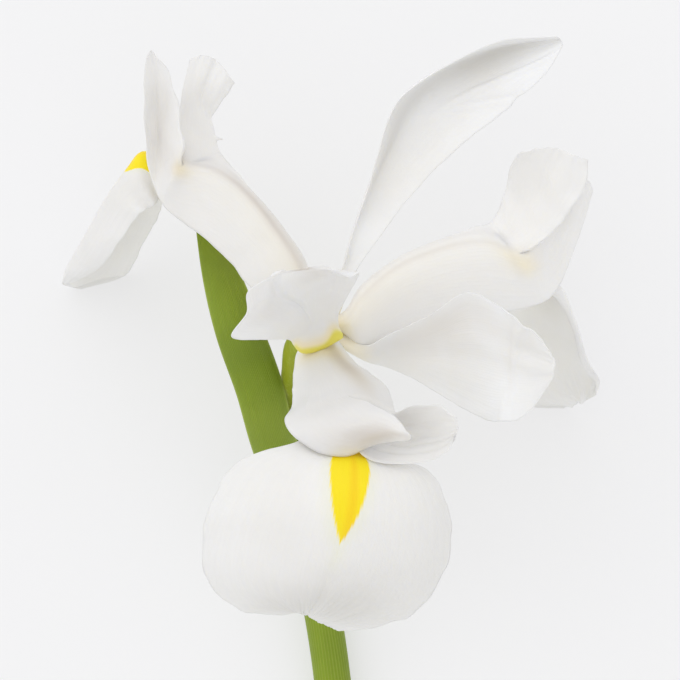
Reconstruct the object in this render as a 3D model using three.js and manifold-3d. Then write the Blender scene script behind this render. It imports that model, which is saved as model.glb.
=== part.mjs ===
// Iris flower on a cut stem, lying on its back. Millimetres, +Z up, resting on z = 0.
// The flower looks up and towards -Y, and the stem runs along -Y.

import * as THREE from "three";
import { mergeVertices } from "three/addons/utils/BufferGeometryUtils.js";
import Module from "manifold-3d";

// Driving dimensions

const EYE_DISTANCE = 600; // the drawing below is laid out as seen from this far above the flower
const FLOWER_HEIGHT = 46; // middle of the flower above the surface it lies on
const MIDDLE_TO_ORIGIN = [1.6, 43.4]; // the origin lies under the middle of the whole flower
const PETAL = 0.7; // thickness of falls and standards
const ARM = 0.7; // thickness of style arms and crests
const SPATHE = 0.6; // thickness of the green sheathing blade
const STEM_RADIUS = 2.3;
const SEAT_GAP = 0.3; // clearance between each petal's foot and the tube
const SHEATH_GAP = 0.5; // clearance between the stem and the sheath round it
const FALL_RING = 4; // how far the feet of the falls stand from the flower's axis
const STANDARD_RING = 2.95;
const ARM_RING = 1.6;
const ARM_FOLD = 1.6; // a style arm is keeled a little more sharply than a petal
const SETTLE = 0.25; // share of a crest in which it grows out of the arm's own section
const FALL_GRID = [24, 14]; // facets along and across each kind of blade
const STANDARD_GRID = [20, 10];
const ARM_GRID = [15, 10];
const CREST_ROWS = 12;
const LIP_GRID = [3, 4];
const SPATHE_GRID = [27, 10];
const STALK_GRID = [14, 6]; // facets along and round each kind of stalk
const TUBE_GRID = [14, 12];
const STEM_GRID = [24, 12];
const SLIVER = 0.01; // facets thinner than this, where bodies join, are cleared away
const TUBE_MOUTH = new THREE.Vector3(-2.8, 0.4, -2); // top of the tube, from the flower's middle
const FLOWER_AXIS = new THREE.Vector3(0.16, 0.69, 0.71).normalize();

const WHITE = new THREE.MeshStandardMaterial({ color: 0xf3f2ee, roughness: 0.55, metalness: 0 });
const CREAM = new THREE.MeshStandardMaterial({ color: 0xf3eeda, roughness: 0.55, metalness: 0 });
const GREEN = new THREE.MeshStandardMaterial({ color: 0x7f9736, roughness: 0.5, metalness: 0 });
const YELLOW_GREEN = new THREE.MeshStandardMaterial({ color: 0xa4ac3c, roughness: 0.5, metalness: 0 });
const POLLEN = new THREE.MeshStandardMaterial({ color: 0xe8d9a0, roughness: 0.8, metalness: 0 });

const wasm = await Module();
wasm.setup();

// Drawing helpers

// A point is given as seen from above against the plane of the flower's middle, with its height
// from that plane, and is carried to where it really lies.
function seen([x, y, height]) {
  const nearer = (EYE_DISTANCE - height) / EYE_DISTANCE;
  return new THREE.Vector3(x * nearer, y * nearer, height);
}

function curveOf(points) {
  return new THREE.CatmullRomCurve3(points, false, "catmullrom", 0.5);
}

// Where a petal starts: two rows of three points, on a ring round the flower's axis.
// A negative width swaps the petal's two margins.
function seat(towards, ring, halfWidth, rise) {
  const out = new THREE.Vector3(...towards).projectOnPlane(FLOWER_AXIS).normalize();
  const across = new THREE.Vector3().crossVectors(FLOWER_AXIS, out).normalize();
  const place = (side, radius, up) =>
    TUBE_MOUTH.clone()
      .addScaledVector(out, radius)
      .addScaledVector(FLOWER_AXIS, up)
      .addScaledVector(across, side * halfWidth);
  return [-1, 0, 1].map((side) => [place(side, ring, SEAT_GAP), place(side * 1.1, ring + 0.2, rise)]);
}

// The bent section between two margins, as a trough whose fold is round at 2 and sharp towards 1.
function section(left, rib, right, v, fold) {
  const lift = right.clone().add(left).multiplyScalar(0.5).sub(rib);
  return rib
    .clone()
    .addScaledVector(right.clone().sub(left), v / 2)
    .addScaledVector(lift, Math.pow(Math.abs(v), fold));
}

// Middle surface of a petal between a left margin, a midrib and a right margin.
function loft(rails, { fold = 2, from = 0, to = 1, ripple = 0, waves = 9 } = {}) {
  const curves = rails.map(curveOf);
  return (u, v) => {
    const [left, rib, right] = curves.map((rail) => rail.getPoint(from + (to - from) * u));
    const point = section(left, rib, right, v, fold);
    const wave = Math.sin(u * waves * 2 * Math.PI + (v > 0 ? 1.3 : 0));
    point.z += ripple * wave * Math.pow(Math.abs(v), 3) * Math.sin(u * Math.PI);
    return point;
  };
}

// An open surface of four-sided faces, filled row by row. A row may carry on from points that
// are there already, so that surfaces can branch.
class Sheet {
  points = [];

  row(surface, u, across) {
    const numbers = [];
    for (let j = 0; j <= across; j++) {
      numbers.push(this.points.push(surface(u, (2 * j) / across - 1)) - 1);
    }
    return numbers;
  }

  grid(surface, along, across, first = this.row(surface, 0, across)) {
    const rows = [first];
    for (let i = 1; i <= along; i++) rows.push(this.row(surface, i / along, across));
    const faces = [];
    for (let i = 0; i < along; i++) {
      for (let j = 0; j < across; j++) {
        faces.push([rows[i][j], rows[i + 1][j], rows[i + 1][j + 1], rows[i][j + 1]]);
      }
    }
    return { faces, last: rows[along] };
  }
}

// Closed shells of even thickness about one open surface, split alike on both faces.
// Each set of faces becomes a body of its own, and all of them share the surface's normals.
// Whatever would sink below the resting surface lies flat on it instead.
function thicken(points, sets, thickness) {
  for (const p of points) p.z = Math.max(p.z, thickness / 2 - FLOWER_HEIGHT);
  const normals = points.map(() => new THREE.Vector3());
  for (const face of new Set(sets.flat())) {
    const [a, b, c, d] = face.map((k) => points[k]);
    const facing = c.clone().sub(a).cross(d.clone().sub(b));
    for (const k of face) normals[k].add(facing);
  }
  normals.forEach((normal) => normal.normalize());
  const half = points.length;
  const both = [thickness / 2, -thickness / 2].flatMap((offset) =>
    points.map((p, k) => p.clone().addScaledVector(normals[k], offset)),
  );
  return sets.map((faces) => {
    const index = [];
    const edges = new Map();
    for (const [a, b, c, d] of faces) {
      index.push(a, b, c, a, c, d);
      index.push(half + a, half + c, half + b, half + a, half + d, half + c);
      for (const [from, to] of [[a, b], [b, c], [c, d], [d, a]]) edges.set(`${from} ${to}`, [from, to]);
    }
    for (const [from, to] of edges.values()) {
      if (!edges.has(`${to} ${from}`)) index.push(to, from, half + from, to, half + from, half + to);
    }
    return indexed(both, index);
  });
}

function indexed(points, index) {
  const geometry = new THREE.BufferGeometry().setFromPoints(points);
  geometry.setIndex(index);
  return geometry;
}

// Round stalk along a path, with its own radius at each step, closed at both ends.
function stalk(path, radii, steps, sides) {
  const curve = curveOf(path);
  const frames = curve.computeFrenetFrames(steps, false);
  const radius = (t) => {
    const at = t * (radii.length - 1);
    const i = Math.min(Math.floor(at), radii.length - 2);
    return THREE.MathUtils.lerp(radii[i], radii[i + 1], at - i);
  };
  const points = [];
  for (let i = 0; i <= steps; i++) {
    const centre = curve.getPointAt(i / steps);
    for (let j = 0; j < sides; j++) {
      const angle = ((j + 0.5) / sides) * 2 * Math.PI;
      const r = radius(i / steps);
      const p = centre.clone();
      p.addScaledVector(frames.normals[i], Math.cos(angle) * r);
      p.addScaledVector(frames.binormals[i], Math.sin(angle) * r);
      points.push(p);
    }
  }
  const index = [];
  for (let i = 0; i < steps; i++) {
    for (let j = 0; j < sides; j++) {
      const [a, b] = [i * sides + j, i * sides + ((j + 1) % sides)];
      index.push(a, b, b + sides, a, b + sides, a + sides);
    }
  }
  const [start, end] = [points.length, points.length + 1];
  points.push(curve.getPointAt(0), curve.getPointAt(1));
  const last = steps * sides;
  for (let j = 0; j < sides; j++) {
    const k = (j + 1) % sides;
    index.push(start, k, j, end, last + j, last + k);
  }
  return indexed(points, index);
}

// Facing, joining and naming

function solid(geometry) {
  const bare = geometry.clone();
  bare.deleteAttribute("normal");
  bare.deleteAttribute("uv");
  const merged = mergeVertices(bare, 1e-4);
  const made = new wasm.Manifold(
    new wasm.Mesh({
      numProp: 3,
      vertProperties: merged.attributes.position.array,
      triVerts: new Uint32Array(merged.index.array),
    }),
  );
  if (made.volume() > 0) return made;
  const turned = merged.clone();
  const index = turned.index.array;
  for (let i = 0; i < index.length; i += 3) [index[i + 1], index[i + 2]] = [index[i + 2], index[i + 1]];
  return solid(turned);
}

function geometryOf(body) {
  const mesh = body.getMesh();
  const geometry = new THREE.BufferGeometry();
  geometry.setAttribute("position", new THREE.BufferAttribute(new Float32Array(mesh.vertProperties), 3));
  geometry.setIndex(new THREE.BufferAttribute(new Uint32Array(mesh.triVerts), 1));
  return geometry;
}

const flower = new THREE.Group();
flower.position.set(MIDDLE_TO_ORIGIN[0], MIDDLE_TO_ORIGIN[1], FLOWER_HEIGHT);

function add(name, bodies, material) {
  const joined = bodies.map(solid).reduce((all, body) => all.add(body));
  const whole = bodies.length > 1 ? joined.simplify(SLIVER) : joined;
  const mesh = new THREE.Mesh(geometryOf(whole), material);
  mesh.name = name;
  flower.add(mesh);
}

// Directions in which the three arms and the three standards leave the tube

const FRONT = [0.07, -0.52, 0.85];
const LEFT = [-0.67, 0.72, -0.19];
const RIGHT = [0.92, 0.35, -0.18];
const BACK = [0.3, 0.9, -0.45];
const HOOD = [-0.75, 0.2, 0.6];
const LOWER_RIGHT = [0.85, -0.3, 0.35];

// Pieces drawn by a left margin, a midrib and a right margin

function railsOf({ foot = [[], [], []], left, rib, right }) {
  return [left, rib, right].map((points, i) => [...foot[i], ...points.map(seen)]);
}

function petal(name, drawing, grid) {
  const sheet = new Sheet();
  const { faces } = sheet.grid(loft(railsOf(drawing), drawing), ...grid);
  add(name, thicken(sheet.points, [faces], PETAL), WHITE);
}

// The rails of a style arm and of its two crests, each of which carries on from half of the arm.
function forkedRails(drawing) {
  const arm = railsOf(drawing);
  const end = (rail) => rail.slice(-2);
  const halfway = (v) => [-2, -1].map((k) => section(arm[0].at(k), arm[1].at(k), arm[2].at(k), v, ARM_FOLD));
  const starts = [
    [end(arm[0]), halfway(-0.5), end(arm[1])],
    [end(arm[1]), halfway(0.5), end(arm[2])],
  ];
  const crests = [drawing.leftCrest, drawing.rightCrest].map((crest, side) =>
    crest.map((points, i) => [...starts[side][i], ...points.map(seen)]),
  );
  const middle = crests[0][2][2].clone().lerp(crests[1][0][2], 0.5);
  const beyond = [crests[0][0][2], middle, crests[1][2][2]];
  return { arm: arm.map((rail, i) => [...rail, beyond[i]]), crests };
}

function styleArm(name, drawing) {
  const { arm, crests } = forkedRails(drawing);
  const sheet = new Sheet();
  const [along, across] = ARM_GRID;
  const whole = loft(arm, { fold: ARM_FOLD, to: (arm[0].length - 2) / (arm[0].length - 1) });
  const trunk = sheet.grid(whole, along, across);
  const branches = crests.map((rails, side) => {
    const first = trunk.last.slice((side * across) / 2, ((side + 1) * across) / 2 + 1);
    const surface = loft(rails, { from: 1 / (rails[0].length - 1) });
    const settled = (u, v) => {
      const number = first[Math.round(((v + 1) * across) / 4)];
      const join = sheet.points[number].clone().sub(surface(0, v));
      return surface(u, v).addScaledVector(join, THREE.MathUtils.smoothstep(1 - u / SETTLE, 0, 1));
    };
    return sheet.grid(settled, CREST_ROWS, across / 2, first).faces;
  });
  const shared = trunk.faces.slice(-across / 2);
  const forked = thicken(sheet.points, [[...trunk.faces, ...branches[0]], [...shared, ...branches[1]]], ARM);
  const lip = new Sheet();
  const lipFaces = lip.grid(loft(railsOf(drawing.lip)), ...LIP_GRID).faces;
  add(name, [...forked, ...thicken(lip.points, [lipFaces], ARM)], CREAM);
}

// Falls: a narrow haft under its style arm, then a broad hanging blade

petal(
  "fall_front",
  {
    foot: seat(FRONT, FALL_RING, 1.7, 0.9),
    left: [
      [-5.1, -7.7, 6], [-5.4, -14.5, 17], [-7.5, -17.3, 23], [-17.9, -20.9, 24], [-23.3, -30.6, 19.5],
      [-23, -40.5, 10], [-17.5, -45.6, 4], [-11.5, -46.8, 1], [-6.8, -46.3, 0.5],
    ],
    rib: [
      [-1.2, -8, 4], [0, -14.5, 14.5], [1.4, -18.6, 22.5], [1.8, -23, 26.5], [0.9, -30.6, 26.5],
      [-1, -38, 21.5], [-2.9, -42.6, 14.5], [-4.4, -45.4, 7.5], [-5.6, -46.9, 1.5],
    ],
    right: [
      [2.7, -7.7, 6], [4.4, -14.5, 17], [7.7, -19.4, 23], [15.3, -22.4, 25], [19, -30.6, 21],
      [18, -39, 12.5], [13, -46.3, 5.5], [6, -48.9, 1.5], [-0.2, -49.5, 0],
    ],
    ripple: 0.25,
  },
  FALL_GRID,
);

petal(
  "fall_left",
  {
    foot: seat(LEFT, FALL_RING, -1.7, 0.9),
    left: [
      [-10.5, 8.2, -7], [-22.5, 19.5, -9.5], [-28.6, 23.6, -10.5], [-30.4, 24, -9.6], [-31.6, 22.6, -9],
      [-34, 21.3, -8.5], [-37.1, 17, -13], [-40.6, 12.4, -24], [-46, 9.6, -40],
    ],
    rib: [
      [-11.4, 10.5, -9], [-21.3, 20.8, -12], [-29, 27.4, -12.5], [-33.2, 31.6, -11], [-36, 28.8, -12],
      [-39.4, 24, -17], [-43.4, 17, -27.5], [-46.2, 12.2, -37.5], [-47.1, 9.5, -43],
    ],
    right: [
      [-9.2, 12.4, -9.5], [-18.8, 22.6, -13.5], [-26.8, 28.8, -15.5], [-28.6, 27, -18.5], [-29.8, 24.6, -23],
      [-30.6, 21.3, -30], [-33.2, 16.7, -39], [-36.4, 11, -46], [-44, 8.6, -47],
    ],
    ripple: 0.25,
  },
  FALL_GRID,
);

petal(
  "fall_right",
  {
    foot: seat(RIGHT, FALL_RING, -1.7, 0.9),
    left: [
      [11, 7.4, -10.5], [21, 10.4, -13], [31, 12.6, -15.5], [29.5, 7.8, -23], [27.6, 3.4, -33],
      [28, -3.4, -41.5], [31.5, -10.2, -46.5], [40, -12, -47],
    ],
    rib: [
      [10.6, 5, -9], [21, 8, -11.5], [31, 10.4, -12.5], [36.6, 9.8, -12.5], [38.8, 3.7, -18],
      [40.9, -3.1, -30], [43.6, -7.7, -39], [43, -11, -44],
    ],
    right: [
      [10.6, 2.6, -7.5], [21.3, 5.6, -9], [31, 7.4, -9.5], [36.2, 7.4, -9.5], [38.4, 2, -12],
      [39.8, -4.2, -21], [42, -9, -34], [42.6, -11.4, -43],
    ],
    ripple: 0.25,
  },
  FALL_GRID,
);

// Standards: three free petals that stand between the falls

petal(
  "standard_back",
  {
    foot: seat(BACK, STANDARD_RING, -1.3, 2),
    left: [
      [0.4, 12.2, -5], [2, 17.7, -4.8], [4.4, 24.8, -4.2], [6.8, 32.3, -3.4], [9.9, 40.5, -2.2],
      [17, 46.2, -1], [27.2, 50.7, -0.6], [36.9, 51.5, 0.2],
    ],
    rib: [
      [1.1, 12, -6.5], [3, 17.5, -7.4], [5.9, 24.4, -8.4], [9.2, 31.2, -9], [13.4, 38.4, -8.6],
      [19.4, 44, -7.4], [28.4, 48.6, -5], [37.6, 51, -0.8],
    ],
    right: [
      [2.7, 11.6, -5.5], [6.5, 17, -5.5], [11.1, 23.3, -5.4], [16.5, 29.2, -4.4], [23, 34.9, -2.4],
      [28.9, 39.4, -0.4], [34.9, 45.2, 0.6], [37.9, 50, 0.6],
    ],
    ripple: 0.3,
    waves: 5,
  },
  STANDARD_GRID,
);

petal(
  "standard_right",
  {
    foot: seat(LOWER_RIGHT, STANDARD_RING, -1.3, 1.2),
    left: [
      [4.6, -0.9, 0.7], [8, 0.8, 3], [15.3, 4.4, 9.5], [21.3, 8.3, 16.5], [26.4, 6.2, 22],
      [30.6, 3.2, 24.5], [33.6, 0.5, 26], [35.3, -1.6, 27.5],
    ],
    rib: [
      [4.6, -2.3, -0.3], [8.3, -2, 0], [15.3, -1.9, 5], [21.3, -1.7, 12], [26.2, -2.4, 16.5],
      [30.2, -3.3, 17.6], [33.6, -4.2, 21.5], [36.6, -4.8, 28.5],
    ],
    right: [
      [4.3, -3.6, -0.4], [7.7, -4.6, -0.4], [12.8, -6.8, 4], [19.6, -11, 11], [25.4, -13.9, 17],
      [29.4, -13.9, 20.5], [32.6, -11.9, 23], [34.9, -8.2, 26.5],
    ],
    ripple: 0.3,
    waves: 4,
  },
  STANDARD_GRID,
);

petal(
  "standard_left",
  {
    foot: seat(HOOD, STANDARD_RING, -1, 1.4),
    left: [
      [-6.8, 0.1, 3], [-8.6, 0, 7], [-10.7, 0.1, 13], [-13.3, 0, 22], [-18.4, 0.4, 32],
      [-15.9, 4.5, 37], [-15.9, 8.4, 40], [-11.4, 11.3, 42.5],
    ],
    rib: [
      [-4.4, 0.8, 2.5], [-4.7, 1.9, 6.5], [-5.1, 4.2, 13], [-5.6, 6.8, 22], [-6.6, 8.8, 31],
      [-7.3, 10.2, 37], [-7.1, 11.6, 41], [-7.4, 12.2, 43],
    ],
    right: [
      [-1.5, 1.2, 1.9], [-1, 2.6, 6], [-0.2, 4.6, 12], [1.2, 7.2, 20], [3.2, 11.2, 29],
      [1.7, 10.9, 35], [-1.4, 12.2, 40], [-4.8, 12.6, 43],
    ],
    ripple: 0.2,
    waves: 4,
  },
  STANDARD_GRID,
);

// Style arms: an arched arm over each haft, which forks into two raised crests and carries a lip

styleArm(
  "style_arm_front",
  {
    foot: seat(FRONT, ARM_RING, 1.2, 1.5),
    left: [
      [-6.9, -1.5, 0.8], [-7.9, -5, 3], [-8, -8.4, 7.5], [-8.2, -11.4, 13], [-9.4, -13.6, 18.5],
    ],
    rib: [[-3.6, -0.5, 2.9], [-2.8, -3, 6.5], [-1.5, -5, 12], [0, -7.2, 17.5], [1.6, -9.8, 22]],
    right: [[-0.2, -0.3, 0.7], [2.6, -3.9, 2.5], [5.4, -5.9, 6.5], [8, -8.2, 12.5], [9.3, -12, 19]],
    leftCrest: [
      [
        [-8.3, -16, 23.2], [-4.4, -18.8, 25], [1, -19.9, 25.2], [5.4, -18.2, 25], [8.6, -17.2, 27],
        [11.5, -17.2, 32.5],
      ],
      [
        [-1.5, -12.8, 25.8], [1.2, -14.8, 28], [4.4, -15.4, 29], [7.4, -15.6, 30.5],
        [9.8, -15.9, 32.4], [12.2, -16.6, 34],
      ],
      [
        [4.8, -10.6, 26], [7.4, -11.7, 29.2], [9.4, -13, 31.8], [10.6, -14.3, 33.6],
        [11.2, -15.3, 34.5], [11.7, -16, 34.8],
      ],
    ],
    rightCrest: [
      [
        [3, -13.5, 23.5], [3, -18.9, 24.9], [8, -21, 27], [13.5, -20.9, 29], [18.2, -18.9, 31.5],
        [19.6, -16.2, 32.6],
      ],
      [
        [6.4, -13.3, 21.5], [9.2, -15.6, 22], [12, -16.2, 23.4], [15, -15.8, 25.6],
        [17.8, -15.5, 29], [20.3, -15.2, 33.2],
      ],
      [
        [9.9, -12.3, 23], [11.6, -11.4, 27], [14.3, -10.8, 30], [17, -11.6, 32], [18.8, -13, 33],
        [19.8, -14.3, 33.6],
      ],
    ],
    lip: {
        left: [[-2.5, -10, 20.7], [-2.2, -13.4, 19]],
        rib: [[1.5, -9, 21.4], [1.6, -12.6, 19.2]],
        right: [[4.8, -9.2, 20.6], [4.8, -12.6, 19]],
    },
  },
);

styleArm(
  "style_arm_left",
  {
    foot: seat(LEFT, ARM_RING, -1, 2.6),
    left: [
      [-14.9, 8.8, -2], [-18.4, 13, -3.5], [-23, 17.3, -5], [-26.4, 19.8, -6.5], [-29.9, 22.8, -7],
    ],
    rib: [
      [-7.2, 11.8, 3.5], [-11.6, 18.8, 3], [-16.8, 25, 1.5], [-21.8, 28.4, 0], [-26.6, 29.8, -1],
    ],
    right: [
      [-6, 13.3, -5], [-9.4, 18.4, -6], [-13.3, 22.8, -8], [-16.8, 27.6, -9], [-20.2, 31.6, -9],
    ],
    leftCrest: [
      [[-32, 27.2, -6], [-33, 32.3, -3.5], [-33.3, 39.1, 0], [-33.3, 44.2, 3], [-32.8, 48.2, 5.6]],
      [[-29.8, 30, -5], [-30.5, 34.4, -4.8], [-30.7, 39, -2.6], [-31, 43.6, 1], [-32, 49.2, 6]],
      [
        [-26.4, 33.2, 2], [-27.3, 37.4, 2.8], [-27.7, 41.2, 4], [-29.2, 45.6, 5.5],
        [-31.4, 48.4, 6.6],
      ],
    ],
    rightCrest: [
      [[-28, 33.6, -2.6], [-27.4, 38.8, -3], [-26.6, 43.2, -1.8], [-25.6, 47.6, 0.5]],
      [[-23.9, 34.6, -6], [-24.2, 39.2, -4.4], [-23.2, 43.8, -0.2], [-21.8, 48, 3]],
      [[-21.2, 34.8, -8], [-21.6, 38.2, -6.2], [-19.2, 41.6, -1.6], [-17.9, 43.6, 1.2]],
    ],
    lip: {
        left: [[-28.2, 22.8, -7.6], [-30.2, 24.6, -8.4]],
        rib: [[-25.6, 28.6, -2], [-28.8, 28.6, -4.6]],
        right: [[-21.6, 30.6, -7.6], [-24.6, 31.6, -8.6]],
    },
  },
);

styleArm(
  "style_arm_right",
  {
    foot: seat(RIGHT, ARM_RING, -1, 2.6),
    left: [
      [1.4, 5.6, -2.6], [3.9, 9.5, -3.8], [10.2, 13.9, -6], [17, 16.8, -8], [22.6, 19, -8.5],
      [25.6, 20, -8.5],
    ],
    rib: [
      [1.6, 3.4, 2], [4.6, 7.4, 3], [10.4, 12, 3.5], [17.8, 15, 2.5], [24.7, 16, 1.5],
      [30.6, 14.6, 0.5],
    ],
    right: [
      [3.7, 0.2, -1.7], [7.7, -0.3, -3], [15.3, 2.4, -4], [22.1, 4, -4.6], [28, 4.7, -4.8],
      [34.5, 6.4, -5],
    ],
    leftCrest: [
      [[27.4, 23.2, -6], [28.3, 26.4, -3], [28.8, 29.2, 1], [30.3, 31.6, 5]],
      [[31.4, 21.4, -3.5], [33, 25.4, -1], [34.4, 29, 4], [36, 32.6, 10]],
      [[35.6, 17.8, 2.4], [38.8, 21.4, 4.4], [41.8, 26, 7], [42.1, 30.5, 10]],
    ],
    rightCrest: [
      [[34.4, 18.6, -0.6], [37.2, 22.2, 0.6], [40, 25.4, 3], [41.9, 27.2, 5]],
      [[35.8, 13.6, -3.8], [37.8, 17.6, -3], [39.9, 21.8, -0.4], [42.7, 26.9, 5]],
      [[37.4, 9.4, -6], [39.2, 13.6, -6.2], [41.1, 19, -4], [42.9, 25.4, 3.4]],
    ],
    lip: {
        left: [[27.7, 17.2, -1.7], [30.6, 16.6, -5]],
        rib: [[29.4, 14.9, 0.7], [32.2, 13.8, -3]],
        right: [[31, 11.7, -0.3], [33.6, 11, -4.4]],
    },
  },
);

// Stamens: a thin filament and a longer, flatter anther in the tunnel under each arm

function stamen(name, towards, rise, path) {
  const foot = seat(towards, (FALL_RING + ARM_RING) / 2, 0, rise)[1];
  const radii = [0.4, 0.4, 0.42, 0.9, 0.95, 0.5];
  add(name, [stalk([...foot, ...path.map(seen)], radii, ...STALK_GRID)], POLLEN);
}

stamen("stamen_front", FRONT, 1.1, [
  [-2, -2.1, 3.3], [-0.2, -6, 7.6], [0.4, -9.4, 12.2], [0.8, -13.2, 17.2],
]);
stamen("stamen_left", LEFT, 2.4, [[-10.4, 11.6, -4], [-15.8, 18, -4.4], [-21.6, 23.6, -5]]);
stamen("stamen_right", RIGHT, 2.4, [[6.6, 5.6, -3.4], [13.4, 8.6, -4], [21.6, 10.6, -5]]);

// Ovary with the tube, stem, and the sheathing spathe

const TUBE_PATH = [
  TUBE_MOUTH,
  TUBE_MOUTH.clone().addScaledVector(FLOWER_AXIS, -1.6),
  seen([-6.6, -0.8, -7.6]),
  seen([-7.2, -5.6, -14]),
  seen([-7.5, -9.6, -19.5]),
  seen([-7, -13.6, -24.4]),
];

const TUBE_RADII = [4.5, 3, 2.6, 2.8, 2.9, 2.4]; // from the mouth down to the foot of the ovary

add("ovary", [stalk(TUBE_PATH, TUBE_RADII, ...TUBE_GRID)], YELLOW_GREEN);

const STEM_PATH = [
  [-6.9, -14.3, -24.9], [-6.6, -19.5, -30], [-5.6, -30.6, -36.4], [-4, -40.8, -40],
  [-2.2, -51, -41.8], [-0.8, -62, -42.4], [1.2, -80, -42.8], [3, -105, -43.5], [4.8, -129, -43.7],
];

add("stem", [stalk(STEM_PATH.map(seen), [STEM_RADIUS, STEM_RADIUS], ...STEM_GRID)], GREEN);

// The spathe is an arc in section: wrapped round the stem below, nearly flat in the blade.
// Each station gives the crown of the arc, its half width and how far it wraps to each side.
function spatheSurface(stations) {
  const crown = curveOf(stations.map(({ at }) => at));
  const shape = curveOf(stations.map(({ halfWidth, wrap }) => new THREE.Vector3(halfWidth, wrap, 0)));
  return (u, v) => {
    const along = crown.getTangent(u);
    const { x: halfWidth, y: wrap } = shape.getPoint(u);
    const across = new THREE.Vector3(0, 0, 1).cross(along).normalize();
    const up = along.clone().cross(across).normalize();
    const half = THREE.MathUtils.degToRad(wrap);
    const radius = halfWidth / Math.sin(Math.min(half, Math.PI / 2));
    return crown
      .getPoint(u)
      .addScaledVector(across, -radius * Math.sin(v * half))
      .addScaledVector(up, radius * (Math.cos(v * half) - 1));
  };
}

const SHEATH = STEM_RADIUS + SHEATH_GAP + SPATHE / 2;

// Crown of the sheath above one point of the stem's path.
function aboveStem(i) {
  const [before, here, after] = [i - 1, i, i + 1].map((k) => seen(STEM_PATH[k]));
  const along = after.sub(before).normalize();
  const up = new THREE.Vector3(0, 0, 1).projectOnPlane(along).normalize();
  return here.addScaledVector(up, SHEATH);
}

const STATIONS = [
  { at: aboveStem(6), halfWidth: SHEATH, wrap: 150 },
  { at: aboveStem(5), halfWidth: SHEATH, wrap: 150 },
  { at: aboveStem(4), halfWidth: SHEATH, wrap: 140 },
  { at: aboveStem(3), halfWidth: SHEATH + 0.1, wrap: 110 },
  { at: seen([-6, -30.6, -32.2]), halfWidth: 3.9, wrap: 78 },
  { at: seen([-11, -18.4, -17.5]), halfWidth: 3.9, wrap: 50 },
  { at: seen([-13.8, -8, -12.8]), halfWidth: 4.1, wrap: 36 },
  { at: seen([-17.4, 2, -13]), halfWidth: 4, wrap: 36 },
  { at: seen([-20.6, 12, -16]), halfWidth: 3.1, wrap: 36 },
  { at: seen([-24.4, 23.4, -19.5]), halfWidth: 0.6, wrap: 36 },
];

const spathe = new Sheet();
const spatheFaces = spathe.grid(spatheSurface(STATIONS), ...SPATHE_GRID).faces;
add("spathe", thicken(spathe.points, [spatheFaces], SPATHE), GREEN);

export default flower;
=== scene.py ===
# %% [markdown]
# # A white iris on a cut stem
# The flower lies on its back on a pale table, so the camera looks straight down on it. A thin
# petal could be sculpted, simulated as cloth or cut from a flat sheet. Here each one is lofted
# between a left margin, a midrib and a right margin, because those three lines are what one can
# see and measure on a real petal. The helpers come first, then the petals with their finishes, and
# last the green parts and the stamens.

import math

import bmesh
import bpy
import numpy as np
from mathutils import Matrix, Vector


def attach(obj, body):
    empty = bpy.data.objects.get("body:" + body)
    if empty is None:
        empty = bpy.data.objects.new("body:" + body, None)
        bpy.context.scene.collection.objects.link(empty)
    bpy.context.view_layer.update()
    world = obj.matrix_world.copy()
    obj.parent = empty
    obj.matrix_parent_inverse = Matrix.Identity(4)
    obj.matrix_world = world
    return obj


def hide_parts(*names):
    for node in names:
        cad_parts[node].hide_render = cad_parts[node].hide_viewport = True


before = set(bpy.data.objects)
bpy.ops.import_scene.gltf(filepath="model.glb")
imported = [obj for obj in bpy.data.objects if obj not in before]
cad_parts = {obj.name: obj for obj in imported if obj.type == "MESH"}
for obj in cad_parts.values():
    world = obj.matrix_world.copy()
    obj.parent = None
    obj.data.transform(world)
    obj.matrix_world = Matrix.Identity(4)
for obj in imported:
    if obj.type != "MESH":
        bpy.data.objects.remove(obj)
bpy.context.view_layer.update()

# %% [markdown]
# ## How the flower is laid out
# Every point below is in millimetres from the middle of the flower. Its first two numbers say
# where it appears from straight above at the height of that middle, and the third says how high
# it really is. A near point appears larger than a far one, so `seen` carries it back to its true
# place. The last step moves everything so that the flower lies on the table.

# %% From the drawing to the table
EYE_DISTANCE = 600
FLOWER_HEIGHT = 46
MIDDLE_TO_ORIGIN = (1.6, 43.4)
MM_PER_METRE = 1000


def seen(point):
    x, y, height = point
    nearer = (EYE_DISTANCE - height) / EYE_DISTANCE
    return (x * nearer, y * nearer, height)


def on_table(points):
    """Millimetres from the flower's middle become metres on the table."""
    return (np.asarray(points, float) + (*MIDDLE_TO_ORIGIN, FLOWER_HEIGHT)) / MM_PER_METRE


def unit(vector):
    vector = np.asarray(vector, float)
    return vector / np.linalg.norm(vector)


print("the flower's middle lies at", on_table((0, 0, 0)))

# %% [markdown]
# ## Smooth lines
# A petal's edge is a long, calm curve. A Bezier needs two handles for every point, while a
# Catmull-Rom curve needs only the points themselves and passes through each of them.

# %% A smooth line through points


def line(points):
    """Gives a function that finds the place at a share u of the way along the points."""
    given = np.array(points, float)
    given = np.vstack([2 * given[0] - given[1], given, 2 * given[-1] - given[-2]])

    def at(u):
        u = np.clip(np.asarray(u, float), 0, 1) * (len(given) - 3)
        i = np.minimum(u.astype(int), len(given) - 4)
        t = (u - i)[..., None]
        a, b, c, d = given[i], given[i + 1], given[i + 2], given[i + 3]
        square = 2 * a - 5 * b + 4 * c - d
        cube = 3 * b - a - 3 * c + d
        return 0.5 * (2 * b + (c - a) * t + square * t**2 + cube * t**3)

    return at


def eased(share):
    """A soft start and a soft stop between 0 and 1."""
    share = np.clip(share, 0, 1)
    return share**2 * (3 - 2 * share)


def bell(value, middle, breadth):
    """1 at the middle, and fading away over the breadth."""
    return np.exp(-(((value - middle) / breadth) ** 2))


print("halfway between two points:", line([(0, 0, 0), (10, 0, 4)])(0.5))

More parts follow.
